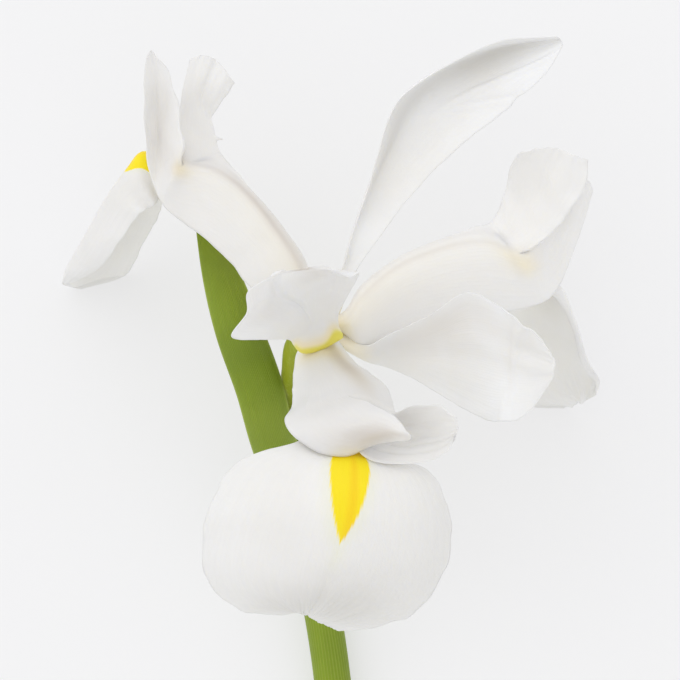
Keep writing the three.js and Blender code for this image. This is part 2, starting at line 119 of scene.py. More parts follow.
# %% [markdown]
# ## Calm unevenness
# No living sheet is as even as a formula. A few slow waves with random directions give each petal
# its own swells. The seed is fixed, so every run makes the same flower.

# %% Slow random swells


def swells(seed, u, v, waves=6, finest=3.0):
    dice = np.random.default_rng(seed)
    total = np.zeros_like(u)
    for _ in range(waves):
        pitch_u, pitch_v = dice.uniform(0.6, finest, 2)
        phase = dice.uniform(0, 2 * math.pi)
        side = dice.choice([-1, 1])
        total += np.cos(2 * math.pi * (pitch_u * u + side * pitch_v * v / 2) + phase)
    return total / waves


print("swells at one spot:", round(float(swells(1, np.array(0.4), np.array(0.2))), 3))

# %% [markdown]
# ## A closed sheet
# A petal is a few tenths of a millimetre thick, a little more along its rib and almost nothing at
# its margin. Blender's Solidify could give it a wall, but only an even one. Here both faces are
# built from one grid of points and joined by a thin rim, so the wall may thin out towards the
# margin. The same grid gives each petal a UV map: along the petal, and across it.

# %% Build a sheet with two faces and a rim


def shares(rows, columns):
    """A grid of u, 0 to 1 along a blade, and v, -1 to 1 across it."""
    return np.meshgrid(np.linspace(0, 1, rows + 1), np.linspace(-1, 1, columns + 1), indexing="ij")


def patch(ids):
    """The four-sided faces of a grid of point numbers."""
    corners = (ids[:-1, :-1], ids[1:, :-1], ids[1:, 1:], ids[:-1, 1:])
    return np.stack([corner.ravel() for corner in corners], 1)


def numbered(grid):
    """The points of a grid as one list, and the faces between them."""
    return grid.reshape(-1, 3), patch(np.arange(grid[..., 0].size).reshape(grid.shape[:2]))


def thicken(points, faces, thickness):
    """A closed sheet about an open surface, with a thickness of its own at each point."""
    normal = np.zeros_like(points)
    a, b, c, d = (points[faces[:, k]] for k in range(4))
    facing = np.cross(c - a, d - b)
    for k in range(4):
        np.add.at(normal, faces[:, k], facing)
    normal /= np.maximum(np.linalg.norm(normal, axis=1, keepdims=True), 1e-9)
    offset = normal * thickness[:, None] / 2
    half = len(points)
    edges = np.concatenate([np.stack([faces[:, k], faces[:, (k + 1) % 4]], 1) for k in range(4)])
    shared = set(map(tuple, edges[:, ::-1].tolist()))
    rim = np.array([edge for edge in edges.tolist() if tuple(edge) not in shared])
    rim_faces = np.stack([rim[:, 1], rim[:, 0], rim[:, 0] + half, rim[:, 1] + half], 1)
    all_faces = np.concatenate([faces, faces[:, ::-1] + half, rim_faces])
    return np.concatenate([points + offset, points - offset]), all_faces


def spots(along, across, places):
    """Soft spots on a petal. Each is (along, across, its two half sizes, strength)."""
    total = np.zeros_like(along)
    for at_along, at_across, reach_along, reach_across, strength in places:
        total += strength * bell(along, at_along, reach_along) * bell(across, at_across, reach_across)
    return total


def sheet(points, faces, thickness, along, across, warm, painted_shade=None, turned=False):
    """One part of a mesh: a closed sheet that lies on the table where it would sink into it."""
    points = points.copy()
    points[:, 2] = np.maximum(points[:, 2], thickness / 2 - FLOWER_HEIGHT)
    closed, all_faces = thicken(points, faces, thickness)
    uv = np.stack([along, (across + 1) / 2], axis=-1)
    upper = np.repeat([0.0, 1.0] if turned else [1.0, 0.0], len(points))
    painted_shade = np.zeros_like(warm) if painted_shade is None else painted_shade
    marks = {"warm": np.concatenate([warm, warm]), "painted_shade": np.concatenate([painted_shade, painted_shade]), "upper": upper}
    return closed, all_faces, np.concatenate([uv, uv]), marks


print("faces among 3 by 4 points:", len(patch(np.arange(12).reshape(3, 4))))

# %% Make a piece from its parts


def add_object(name, data):
    piece = bpy.data.objects.new(name, data)
    bpy.context.scene.collection.objects.link(piece)
    return piece


def add_mesh(name, parts, material):
    """Each part is (points, faces, uv, marks). They become one mesh on the table."""
    points, faces, uvs, marks, start = [], [], [], {}, 0
    for part_points, part_faces, uv, part_marks in parts:
        points.append(part_points)
        faces.extend((part_faces + start).tolist())
        uvs.append(uv)
        for key, values in part_marks.items():
            marks.setdefault(key, []).append(values)
        start += len(part_points)
    mesh = bpy.data.meshes.new(name)
    mesh.from_pydata(on_table(np.concatenate(points)).tolist(), [], faces)
    corners = np.zeros(len(mesh.loops), int)
    mesh.loops.foreach_get("vertex_index", corners)
    mesh.uv_layers.new(name="blade").data.foreach_set("uv", np.concatenate(uvs)[corners].ravel())
    for key, values in marks.items():
        mesh.attributes.new(key, "FLOAT", "POINT").data.foreach_set("value", np.concatenate(values))
    mesh.polygons.foreach_set("use_smooth", np.ones(len(mesh.polygons), bool))
    mesh.materials.append(material)
    return add_object(name, mesh)


def outward(piece):
    """Turns every face of the piece outwards."""
    shape = bmesh.new()
    shape.from_mesh(piece.data)
    bmesh.ops.recalc_face_normals(shape, faces=shape.faces)
    shape.to_mesh(piece.data)
    shape.free()
    return piece


def triangles(piece):
    return sum(len(p.vertices) - 2 for p in piece.data.polygons)


# %% [markdown]
# ## Building nodes by script
# A node tree is easier to read when a node and its links are made in one call. `node` sets an
# input to a value, or links it where the value is another node's output. `group` makes a tree
# with named sockets, and gives back its inputs and a function that fills its outputs.

# %% Helpers for node trees
FLOAT = "NodeSocketFloat"
INTEGER = "NodeSocketInt"
GEOMETRY = "NodeSocketGeometry"
MATERIAL = "NodeSocketMaterial"


def node(tree, kind, inputs=None, **settings):
    made = tree.nodes.new(kind)
    for key, value in settings.items():
        setattr(made, key, value)
    for key, value in (inputs or {}).items():
        if isinstance(value, bpy.types.NodeSocket):
            tree.links.new(value, made.inputs[key])
        else:
            made.inputs[key].default_value = value
    return made


def calc(tree, operation, a, b=0.0, c=0.0):
    return node(tree, "ShaderNodeMath", {0: a, 1: b, 2: c}, operation=operation).outputs[0]


def times(tree, a, b):
    return calc(tree, "MULTIPLY", a, b)


def minus(tree, a, b):
    return calc(tree, "SUBTRACT", a, b)


def ramp(tree, value, low, high, to_low=0.0, to_high=1.0):
    """A soft step of a value from low to high."""
    limits = {0: value, 1: low, 2: high, 3: to_low, 4: to_high}
    return node(tree, "ShaderNodeMapRange", limits, interpolation_type="SMOOTHSTEP").outputs[0]


def blend(tree, factor, a, b):
    """Mixes two colours."""
    return node(tree, "ShaderNodeMix", {0: factor, 6: a, 7: b}, data_type="RGBA").outputs[2]


def group(name, inputs, outputs, kind="ShaderNodeTree"):
    tree = bpy.data.node_groups.new(name, kind)
    for title, socket, value in inputs:
        made = tree.interface.new_socket(name=title, in_out="INPUT", socket_type=socket)
        if value is not None:
            made.default_value = value
    for title, socket in outputs:
        tree.interface.new_socket(name=title, in_out="OUTPUT", socket_type=socket)
    end = tree.nodes.new("NodeGroupOutput")

    def give(title, value):
        tree.links.new(value, end.inputs[title])

    return tree, tree.nodes.new("NodeGroupInput").outputs, give


# %% [markdown]
# ## Veins that fan along a blade
# Fine veins run from the foot of a petal or leaf to its tip. Because every sheet's UV map follows
# its own margins, stripes of even width across V fan out just as the veins do. The group bends
# them a little with noise, so that they are not ruled lines. It gives a mask for colour and a
# height for relief.

# %% Shader group: fanned veins
veins, given, give = group(
    "fanned veins",
    [
        ("Across", FLOAT, 0.5), ("Along", FLOAT, 0.5), ("Count", FLOAT, 40.0),
        ("Fan", FLOAT, 0.0), ("Waver", FLOAT, 0.6), ("Sharpness", FLOAT, 3.0),
    ],
    [("Mask", FLOAT), ("Height", FLOAT)],
)
long_grain = {0: times(veins, given["Across"], 5.0), 1: times(veins, given["Along"], 2.2)}
spot = node(veins, "ShaderNodeCombineXYZ", long_grain)
bend = node(veins, "ShaderNodeTexNoise", {"Vector": spot.outputs[0], "Scale": 2.0, "Detail": 3.0})
bent = times(veins, minus(veins, bend.outputs["Fac"], 0.5), given["Waver"])
to_tip = minus(veins, 1.0, given["Along"])
fan_out = minus(veins, 1.0, times(veins, given["Fan"], to_tip))
fanned = calc(veins, "DIVIDE", minus(veins, given["Across"], 0.5), fan_out)
stripe = calc(veins, "ADD", times(veins, fanned, given["Count"]), times(veins, bent, 4.0))
wave = calc(veins, "COSINE", times(veins, stripe, 2 * math.pi))
ridge = calc(veins, "POWER", calc(veins, "MULTIPLY_ADD", wave, 0.5, 0.5), given["Sharpness"])
finer = calc(veins, "COSINE", times(veins, stripe, 4.4 * math.pi))
give("Mask", ridge)
give("Height", calc(veins, "MULTIPLY_ADD", finer, 0.25, ridge))
print("fanned veins:", len(veins.nodes), "nodes")

# %% [markdown]
# ## Skin of cells
# Close up, a petal sparkles because each of its skin cells bulges, and its colour drifts slowly
# from patch to patch. One group gives both: a fine cell height for relief and a slow drift for
# colour. It reads Object coordinates, so the cells are equally fine on every piece.

# %% Shader group: cells and drift
skin, given, give = group(
    "skin of cells",
    [("Cells", FLOAT, 3200.0), ("Patches", FLOAT, 60.0)],
    [("Height", FLOAT), ("Drift", FLOAT)],
)
place = node(skin, "ShaderNodeTexCoord").outputs["Object"]
fine = {"Vector": place, "Scale": given["Cells"]}
cells = node(skin, "ShaderNodeTexVoronoi", fine, feature="SMOOTH_F1")
drift = node(skin, "ShaderNodeTexNoise", {"Vector": place, "Scale": given["Patches"], "Detail": 3.0})
give("Height", minus(skin, 1.0, cells.outputs["Distance"]))
give("Drift", drift.outputs["Fac"])
print("skin of cells:", len(skin.nodes), "nodes")

# %% [markdown]
# ## The yellow signal
# On each fall a yellow patch shows an insect the way in. It is broad under the style arm and runs
# out to a point along the rib, with its edge drawn out along the veins. A painted image would do
# it, but a mask made from the UV map stays sharp at any distance. Its width follows one formula
# along the petal, and the veins push its edge in and out. Its core, deeper in colour, is a band
# just beside the rib; the same orange on the stretch next to the haft is painted shadow where the
# patch runs in under the style arm. Round it lies a faint halo.

# %% Shader group: signal patch
signal, given, give = group(
    "signal patch",
    [
        ("Across", FLOAT, 0.5), ("Along", FLOAT, 0.5), ("Veins", FLOAT, 0.0), ("Start", FLOAT, 0.3),
        ("End", FLOAT, 0.7), ("Half width", FLOAT, 0.08), ("Middle", FLOAT, 0.5),
    ],
    [("Mask", FLOAT), ("Core and painted shadow", FLOAT), ("Halo", FLOAT)],
)
span = minus(signal, given["End"], given["Start"])
reach = calc(signal, "DIVIDE", minus(signal, given["Along"], given["Start"]), span)
taper = calc(signal, "POWER", calc(signal, "MAXIMUM", minus(signal, 1.0, reach), 0.0), 0.72)
shoulder = ramp(signal, reach, -0.6, 0.45, 0.55, 1.0)
half_width = times(signal, times(signal, taper, shoulder), given["Half width"])
aside = minus(signal, given["Across"], given["Middle"])
inside = minus(signal, half_width, calc(signal, "ABSOLUTE", aside))
ragged = minus(signal, calc(signal, "MULTIPLY_ADD", given["Veins"], 0.006, inside), 0.008)
give("Mask", ramp(signal, ragged, 0.0, 0.016))
# Painted shadow: the stretch next to the haft turns orange where the patch runs in under the style arm.
painted_shadow_near_haft = ramp(signal, reach, 0.46, 0.34)
off_band = calc(signal, "ABSOLUTE", minus(signal, aside, 0.02))
give("Core and painted shadow", calc(signal, "MAXIMUM", ramp(signal, off_band, 0.04, 0.0), painted_shadow_near_haft))
near_patch = ramp(signal, reach, 1.3, 1.0)
give("Halo", times(signal, ramp(signal, ragged, -0.07, 0.0), near_patch))
print("signal patch:", len(signal.nodes), "nodes")

# %% [markdown]
# ## Petal finishes
# Petal flesh is white because it is full of air, and it lets light through. The Principled shader's
# subsurface does that: light enters the thin wall and leaves it a millimetre away, so the side
# turned from the light still glows. Cream and yellow-green come in where the mesh carries a `warm`
# value: the petals' own colour at their feet, and painted glow of light through the petal in the
# crevices of the hood's foot and the arms' forks. A soft grey-brown is painted shade, laid where
# the mesh carries a shade value. All petals share one recipe; the falls add the signal.

# %% Helpers for finishes


def material(name):
    made = bpy.data.materials.new(name)
    made.use_nodes = True
    return made, made.node_tree, made.node_tree.nodes["Principled BSDF"]


def placed(tree, shared, inputs=None):
    """Places a shared node group in a material and gives its outputs."""
    return node(tree, "ShaderNodeGroup", inputs, node_tree=shared).outputs


def mark(tree, name):
    """A value that the mesh carries at each point."""
    return node(tree, "ShaderNodeAttribute", attribute_name=name).outputs["Fac"]


def blade_map(tree):
    """How far along and across its blade a place is, both from 0 to 1."""
    uv = node(tree, "ShaderNodeUVMap", uv_map="blade").outputs[0]
    blade = node(tree, "ShaderNodeSeparateXYZ", {0: uv}).outputs
    return blade[0], blade[1]


def surface(tree, shader, colour, layers, values):
    """Sets colour, relief and plain values. A layer of relief is (height, strength, distance)."""
    tree.links.new(colour, shader.inputs["Base Color"])
    below = {}
    for height, strength, distance in layers:
        inputs = {"Strength": strength, "Distance": distance, "Height": height, **below}
        below = {"Normal": node(tree, "ShaderNodeBump", inputs).outputs[0]}
    if below:
        tree.links.new(below["Normal"], shader.inputs["Normal"])
    for key, value in values.items():
        shader.inputs[key].default_value = value


# %% Petal materials
PETAL_WHITE = (0.865, 0.856, 0.845, 1)
PETAL_SHADE = (0.83, 0.82, 0.806, 1)
PETAL_VEIN = (0.81, 0.80, 0.785, 1)
PETAL_COOL = (0.862, 0.866, 0.875, 1)
# The two shade colours are painted shade: grey-brown on most petals, neutral grey on the falls and the
# back standard.
BROWN_PAINTED_SHADE = (0.53, 0.475, 0.435, 1)
GREY_PAINTED_SHADE = (0.50, 0.49, 0.475, 1)
PETAL_CREAM = (0.87, 0.785, 0.60, 1)
PETAL_GREEN = (0.78, 0.70, 0.12, 1)
SIGNAL_YELLOW = (1.0, 0.76, 0.004, 1)
SIGNAL_ORANGE = (0.96, 0.56, 0.0, 1)
SIGNAL_HALO = (0.80, 0.82, 0.42, 1)


def petal_material(name, vein_count=34.0, painted_shade=BROWN_PAINTED_SHADE, white=PETAL_WHITE, patch_place=None):
    """Petal flesh, with a signal patch where its place on the blade is given."""
    made, tree, shader = material(name)
    along, across = blade_map(tree)
    blade = {"Across": across, "Along": along}
    fan = placed(tree, veins, {**blade, "Count": vein_count, "Fan": 0.6})
    flesh = placed(tree, skin)
    warm = mark(tree, "warm")
    colour = blend(tree, ramp(tree, flesh["Drift"], 0.35, 0.7), white, PETAL_SHADE)
    colour = blend(tree, times(tree, fan["Mask"], 0.10), colour, PETAL_VEIN)
    # Warm colour: the petals' own cream and yellow-green at their feet, plus painted glow of light
    # through the petal where glow spots lie.
    colour = blend(tree, ramp(tree, warm, 0.0, 0.75), colour, PETAL_CREAM)
    colour = blend(tree, ramp(tree, warm, 0.7, 1.25), colour, PETAL_GREEN)
    # Painted shade: the petal is darkened towards grey-brown or grey where its shade spots lie.
    colour = blend(tree, mark(tree, "painted_shade"), colour, painted_shade)
    if patch_place:
        spot = placed(tree, signal, {**blade, "Veins": fan["Height"], **patch_place})
        strength = calc(tree, "MULTIPLY_ADD", mark(tree, "upper"), 0.65, 0.35)
        colour = blend(tree, times(tree, spot["Halo"], 0.16), colour, SIGNAL_HALO)
        # Orange where the core lies: a deeper band beside the rib, and painted shadow next to the haft.
        yellow = blend(tree, times(tree, spot["Core and painted shadow"], 0.45), SIGNAL_YELLOW, SIGNAL_ORANGE)
        colour = blend(tree, times(tree, spot["Mask"], strength), colour, yellow)
    tree.links.new(ramp(tree, flesh["Drift"], 0.3, 0.7, 0.42, 0.56), shader.inputs["Roughness"])
    layers = [(flesh["Height"], 0.12, 0.0001), (fan["Height"], 0.14, 0.00012)]
    values = {
        "Subsurface Weight": 0.55, "Subsurface Radius": (1.0, 0.95, 0.8), "Subsurface Scale": 0.0012,
        "Sheen Weight": 0.08, "Specular IOR Level": 0.35,
    }
    surface(tree, shader, colour, layers, values)
    return made


PATCH_PLACES = {
    "front": (46.0, {"Start": 0.30, "End": 0.657, "Half width": 0.207}),
    "left": (40.0, {"Start": 0.2, "End": 0.61, "Half width": 0.72, "Middle": 0.45}),
    "right": (40.0, {"Start": 0.2, "End": 0.5, "Half width": 0.3}),
}
petal_white = petal_material("petal white", white=PETAL_COOL)
fall_finishes = {
    side: petal_material(f"petal white with a signal, {side}", count, GREY_PAINTED_SHADE, patch_place=place)
    for side, (count, place) in PATCH_PLACES.items()
}
# The back standard's finish lays a neutral grey painted shade.
back_finish = petal_material("petal white with cool painted shade", painted_shade=GREY_PAINTED_SHADE, white=PETAL_COOL)
style_cream = petal_material("style arm cream", 22.0)
petal_finishes = (petal_white, *fall_finishes.values(), back_finish, style_cream)
print("petal materials:", [finish.name for finish in petal_finishes])

# %% [markdown]
# ## Where the petals start
# All nine petals of an iris grow from the mouth of one short tube: three falls on the outside,
# three standards between them and three style arms in the middle. Each foot sits on its own ring
# round the flower's axis, so the feet stand beside one another without touching.

# %% The tube's mouth and the seats of the petals
TUBE_MOUTH = np.array([-2.8, 0.4, -2.0])
FLOWER_AXIS = unit((0.16, 0.69, 0.71))
SEAT_GAP = 0.3
FALL_RING = 4
STANDARD_RING = 2.95
ARM_RING = 1.6
FRONT = (0.07, -0.52, 0.85)
LEFT = (-0.67, 0.72, -0.19)
RIGHT = (0.92, 0.35, -0.18)
BACK = (0.3, 0.9, -0.45)
HOOD = (-0.75, 0.2, 0.6)
LOWER_RIGHT = (0.85, -0.3, 0.35)
FOOT_WIDENS = 1.1
FOOT_LEANS_OUT = 0.2


def seat(towards, ring, half_width, rise):
    """The first two points of a petal's left margin, rib and right margin."""
    towards = np.array(towards)
    out = unit(towards - FLOWER_AXIS * towards.dot(FLOWER_AXIS))
    across = unit(np.cross(FLOWER_AXIS, out))

    def place(side, radius, up):
        return TUBE_MOUTH + out * radius + FLOWER_AXIS * up + across * side * half_width

    return [
        [place(side, ring, SEAT_GAP), place(side * FOOT_WIDENS, ring + FOOT_LEANS_OUT, rise)]
        for side in (-1, 0, 1)
    ]


print("front fall starts at", [round(float(c), 2) for c in seat(FRONT, FALL_RING, 1.7, 0.9)[1][0]])

# %% [markdown]
# ## One petal
# The petal's section bends from one margin over the rib to the other: `fold` 2 gives a round
# trough and less a sharper keel. Several things go on top of that calm form. `ripple` waves the
# margins and `ruffle` frets them. `pleat` raises fine folds that fan out with the veins, deeper at
# the tip by `frill`. `swell` lets the whole face heave slowly. `waves`, `rate` and `pleats` say
# how many ripples, frets and folds there are. `nibble` eats a little into the margin here and
# there, as no petal's edge is a clean line, and `teeth` are small points on it.
#
# A drawing may also hold `creases`, each with its place across the foot and the tip, its breadth,
# its height, and where along the petal it begins and is full, and `bends` across the whole petal,
# each with its place, breadth and height. `glow` holds spots of warm colour, partly the petal's own
# and partly painted glow of light through it, and a list of painted-shade spots darkens the petal
# where it lies in shade.
# `turned` gives the stronger yellow to the sheet's other face. What a drawing leaves out comes
# from `CALM`.

# %% Turn a drawing into a petal's grid
PETAL_RIB = 0.75
PETAL_MARGIN = 0.16
CALM = {
    "waves": 9, "ruffle": 0.2, "rate": 5, "pleat": 0.02, "pleats": 17, "frill": 0, "swell": 0.25,
    "nibble": 0.012, "teeth": (), "creases": (), "bends": (), "glow": (), "turned": False,
}


def section(left, rib, right, across, fold):
    """The bent section of a petal between its two margins."""
    chord = (right - left) * (across / 2)[..., None]
    return rib + chord + ((right + left) / 2 - rib) * (np.abs(across) ** fold)[..., None]


def face_normals(grid):
    normal = np.cross(np.gradient(grid, axis=0), np.gradient(grid, axis=1))
    return normal / np.maximum(np.linalg.norm(normal, axis=2, keepdims=True), 1e-9)


def loft(rails, rows, columns, fold=2, start=0.0, end=1.0, nibble=0.0, bites=9, teeth=(), seed=0):
    """Grid of a petal's middle surface between three rails. A tooth is a small point on a margin."""
    u, v = shares(rows, columns)
    bite = nibble * (1 + swells(seed + 5, u * bites, v * 0, 8))
    bite *= np.abs(v) ** 3 * np.sin(np.pi * u) ** 0.5
    across = v * (1 - bite)
    for side, place, breadth, reach in teeth:
        across += side * reach * bell(u, place, breadth) * np.clip(side * v, 0, 1) ** 10
    left, rib, right = (line(points)(start + (end - start) * u) for points in rails)
    return section(left, rib, right, across, fold), u, v


def enliven(grid, u, v, drawing, seed, free):
    """Adds the swells, pleats, creases and ruffled margins where the petal is free."""
    width = np.linalg.norm(grid[:, -1] - grid[:, 0], axis=1)
    free = free * np.clip(width / width.max() / 0.6, 0, 1)[:, None]
    lift = drawing["swell"] * swells(seed, u, v)
    pleats = np.sin(v * drawing["pleats"] * np.pi + 2.5 * swells(seed + 2, u * 0.5, v * 1.5))
    frill = drawing["frill"] * np.clip((u - 0.7) / 0.3, 0, 1) ** 2
    lift += drawing["pleat"] * pleats * (0.3 + 0.7 * v**2 + frill)
    along_sides = swells(seed + 3, u * drawing["rate"], v * 0.6, 7) * np.abs(v) ** 5
    along_tip = swells(seed + 4, u * 0.5, v * 4, 7) * np.clip((u - 0.75) * 4, 0, 1) ** 3
    lift += drawing["ruffle"] * (along_sides + along_tip)
    for at_foot, at_tip, breadth, height, begin, full in drawing["creases"]:
        middle = at_foot + (at_tip - at_foot) * u
        lift += height * bell(v, middle, breadth) * eased((u - begin) / (full - begin))
    for along, breadth, height in drawing["bends"]:
        lift += height * bell(u + 0.04 * v, along, breadth)
    return grid + face_normals(grid) * (lift * free)[..., None]


def wall(u, v):
    """How thick the petal is: thickest along the rib, and thin at the margins and the tip."""
    return PETAL_MARGIN + (PETAL_RIB - PETAL_MARGIN) * (1 - np.abs(v) ** 2.5) * (1 - u**5)


def drawn_rails(drawing):
    sides = zip(drawing["foot"], ("left", "rib", "right"))
    return [[*foot, *[seen(p) for p in drawing[side]]] for foot, side in sides]


def petal_part(drawing, rows, columns, seed, warmth):
    drawing = {**CALM, **drawing}
    grid, u, v = loft(drawn_rails(drawing), rows, columns, nibble=drawing["nibble"], seed=seed)
    wave = np.sin(u * drawing["waves"] * 2 * np.pi + np.where(v > 0, 1.3, 0))
    grid[..., 2] += drawing["ripple"] * wave * np.abs(v) ** 3 * np.sin(u * np.pi)
    grid = enliven(grid, u, v, drawing, seed, np.clip((u - 0.25) / 0.3, 0, 1) ** 1.5)
    # The glow spots add a painted glow of light through the petal to its own warmth.
    warm = warmth(u, v) + spots(u, v, drawing["glow"])
    # Painted shade spots, where the petal lies in shadow or turns away from the light.
    painted_shade = spots(u, v, drawing["painted_shade"])
    values = (a.ravel() for a in (wall(u, v), u, v, warm, painted_shade))
    return sheet(*numbered(grid), *values, turned=drawing["turned"])


def add_petal(name, parts, finish):
    piece = outward(add_mesh(name + "_petal", parts, finish))
    print(name, triangles(piece), "triangles")
    return piece


print("petal wall at the rib and at the margin:", wall(0, np.array([0, 1])), "mm")

# %% [markdown]
# ## The falls
# A fall has a narrow haft under its style arm and a broad blade that hangs down from it. The front
# one faces the camera; the side ones are seen edge-on and reach down to the table. They are warm
# at the haft and along the rib, and the signal starts where the haft widens.

# %% Three falls
FALL_GRID = (150, 100)


def fall_warmth(u, v):
    haft = 1.3 * np.clip(1 - u / 0.3, 0, 1) ** 1.2
    return haft + 0.12 * bell(v, 0, 0.2) * np.clip(1 - u / 0.8, 0, 1)


FALL_FRONT = {
    "foot": seat(FRONT, FALL_RING, 1.7, 0.9),
    "left": [
        (-5.1, -7.7, 6), (-5.4, -14.5, 17), (-7.5, -17.3, 23), (-17.9, -20.9, 24), (-23.3, -30.6, 19.5),
        (-23, -40.5, 10), (-17.5, -45.6, 4), (-11.5, -46.8, 1), (-6.8, -46.3, 0.5),
    ],
    "rib": [
        (-1.2, -8, 4), (0, -14.5, 14.5), (1.4, -18.6, 22.5), (1.8, -23, 26.5), (0.9, -30.6, 26.5),
        (-1, -38, 21.5), (-2.9, -42.6, 14.5), (-4.4, -45.4, 7.5), (-5.6, -46.9, 1.5),
    ],
    "right": [
        (2.7, -7.7, 6), (4.4, -14.5, 17), (7.7, -19.4, 23), (15.3, -22.4, 25), (19, -30.6, 21),
        (18, -39, 12.5), (13, -46.3, 5.5), (6, -48.9, 1.5), (-0.2, -49.5, 0),
    ],
    "ripple": 0.25, "swell": 0.35, "pleats": 23, "pleat": 0.05, "frill": 2.5, "ruffle": 0.45,
    "creases": [
        (0, 0, 0.07, -0.5, 0.6, 0.85), (-0.7, -0.35, 0.1, 0.45, 0.7, 0.9),
        (0.8, 0.5, 0.08, 0.35, 0.6, 0.85),
    ],
    "painted_shade": [(0.89, -0.5, 0.14, 0.6, 0.48), (0.89, 0.45, 0.17, 0.5, 0.44), (0.66, 1, 0.2, 0.25, 0.22)],
}
FALL_LEFT = {
    "foot": seat(LEFT, FALL_RING, -1.7, 0.9),
    "left": [
        (-10.5, 8.2, -7), (-22.5, 19.5, -9.5), (-28.6, 23.6, -10.5), (-30.4, 24, -9.6), (-31.6, 22.6, -9),
        (-34, 21.3, -8.5), (-37.1, 17, -13), (-40.6, 12.4, -24), (-46, 9.6, -40),
    ],
    "rib": [
        (-11.4, 10.5, -9), (-21.3, 20.8, -12), (-29, 27.4, -12.5), (-33.2, 31.6, -11), (-36, 28.8, -12),
        (-39.4, 24, -17), (-43.4, 17, -27.5), (-46.2, 12.2, -37.5), (-47.1, 9.5, -43),
    ],
    "right": [
        (-9.2, 12.4, -9.5), (-18.8, 22.6, -13.5), (-26.8, 28.8, -15.5), (-28.6, 27, -18.5),
        (-29.8, 24.6, -23), (-30.6, 21.3, -30), (-33.2, 16.7, -39), (-36.4, 11, -46), (-44, 8.6, -47),
    ],
    "ripple": 0.25, "turned": True,
    "painted_shade": [(0.78, -0.2, 0.28, 0.8, 0.22), (0.8, 0.7, 0.25, 0.3, 0.14)],
}
FALL_RIGHT = {
    "foot": seat(RIGHT, FALL_RING, -1.7, 0.9),
    "left": [
        (11, 7.4, -10.5), (21, 10.4, -13), (31, 12.6, -15.5), (29.5, 7.8, -23), (27.6, 3.4, -33),
        (28, -3.4, -41.5), (31.2, -10.6, -46.5), (38, -11.6, -47),
    ],
    "rib": [
        (10.6, 5, -9), (21, 8, -11.5), (31, 10.4, -12.5), (36, 9.6, -12.5), (38, 3.7, -19),
        (40, -3.1, -30), (42, -7.4, -36), (42, -10.2, -39.5),
    ],
    "right": [
        (10.6, 2.6, -7.5), (21.3, 5.6, -9), (31, 7.4, -9.5), (36.2, 7.4, -10), (39.3, 2, -17),
        (40.9, -4, -27.5), (43.2, -7, -32), (43.6, -9, -33.5),
    ],
    "ripple": 0.25, "frill": 2, "ruffle": 0.06,
    "painted_shade": [(0.52, -0.2, 0.17, 0.5, 0.38), (0.66, 0.98, 0.14, 0.1, 0.2), (0.92, -0.3, 0.14, 0.8, 0.22)],
    "creases": [
        (-0.7, -0.7, 0.07, 0.5, 0.76, 0.92), (-0.45, -0.45, 0.07, -0.5, 0.76, 0.92),
        (-0.2, -0.2, 0.07, 0.5, 0.76, 0.92),
    ],
}

falls = {}
FALL_DRAWINGS = (("front", FALL_FRONT, 11), ("left", FALL_LEFT, 12), ("right", FALL_RIGHT, 13))
for side, drawing, seed in FALL_DRAWINGS:
    part = petal_part(drawing, *FALL_GRID, seed, fall_warmth)
    falls["fall_" + side] = add_petal("fall_" + side, [part], fall_finishes[side])

# %% [markdown]
# ## The standards
# The three standards are narrower and freer. The one at the back reaches furthest and is a shallow
# trough with folds at its tip. The lower right one bulges towards the camera and has a fold across
# its end. The small left one stands up as a hood over the middle, and its foot is yellow: partly its
# own colour and partly painted glow of light in the crevice at the middle.

# %% Three standards
STANDARD_GRID = (130, 80)


def standard_warmth(u, v):
    return 1.1 * np.clip(1 - u / 0.35, 0, 1) ** 1.3


STANDARD_BACK = {
    "foot": seat(BACK, STANDARD_RING, -1.3, 2),
    "left": [
        (0.4, 12.2, -5), (2, 17.7, -4.8), (4.4, 24.8, -4.2), (6.8, 32.3, -3.4), (9.9, 40.5, -2.2),
        (17, 46.2, -1), (27.2, 50.7, -0.6), (36.9, 51.5, 0.2),
    ],
    "rib": [
        (1.1, 12, -6), (3, 17.5, -6.3), (5.9, 24.4, -7), (9.2, 31.2, -7.6), (13.4, 38.4, -7.8),
        (19.4, 44, -7), (28.4, 48.6, -5), (37.6, 51, -0.8),
    ],
    "right": [
        (2.7, 11.6, -5.5), (6.5, 17, -5.5), (11.1, 23.3, -5.4), (16.5, 29.2, -4.4), (23, 34.9, -2.4),
        (28.9, 39.4, -0.4), (34.9, 45.2, 0.6), (37.9, 50, 0.6),
    ],
    "ripple": 0.3, "waves": 5, "pleats": 13, "swell": 0.3,
    "creases": [(-1.25, 0.97, 0.07, -0.7, 0.66, 0.8), (-3.53, 2.07, 0.1, -0.6, 0.68, 0.74)],
    "glow": [(0.22, 0, 0.12, 1.5, -0.3)],
    "painted_shade": [(0.64, -0.5, 0.2, 0.35, 0.38), (0.9, -0.15, 0.13, 0.5, 0.6)],
}
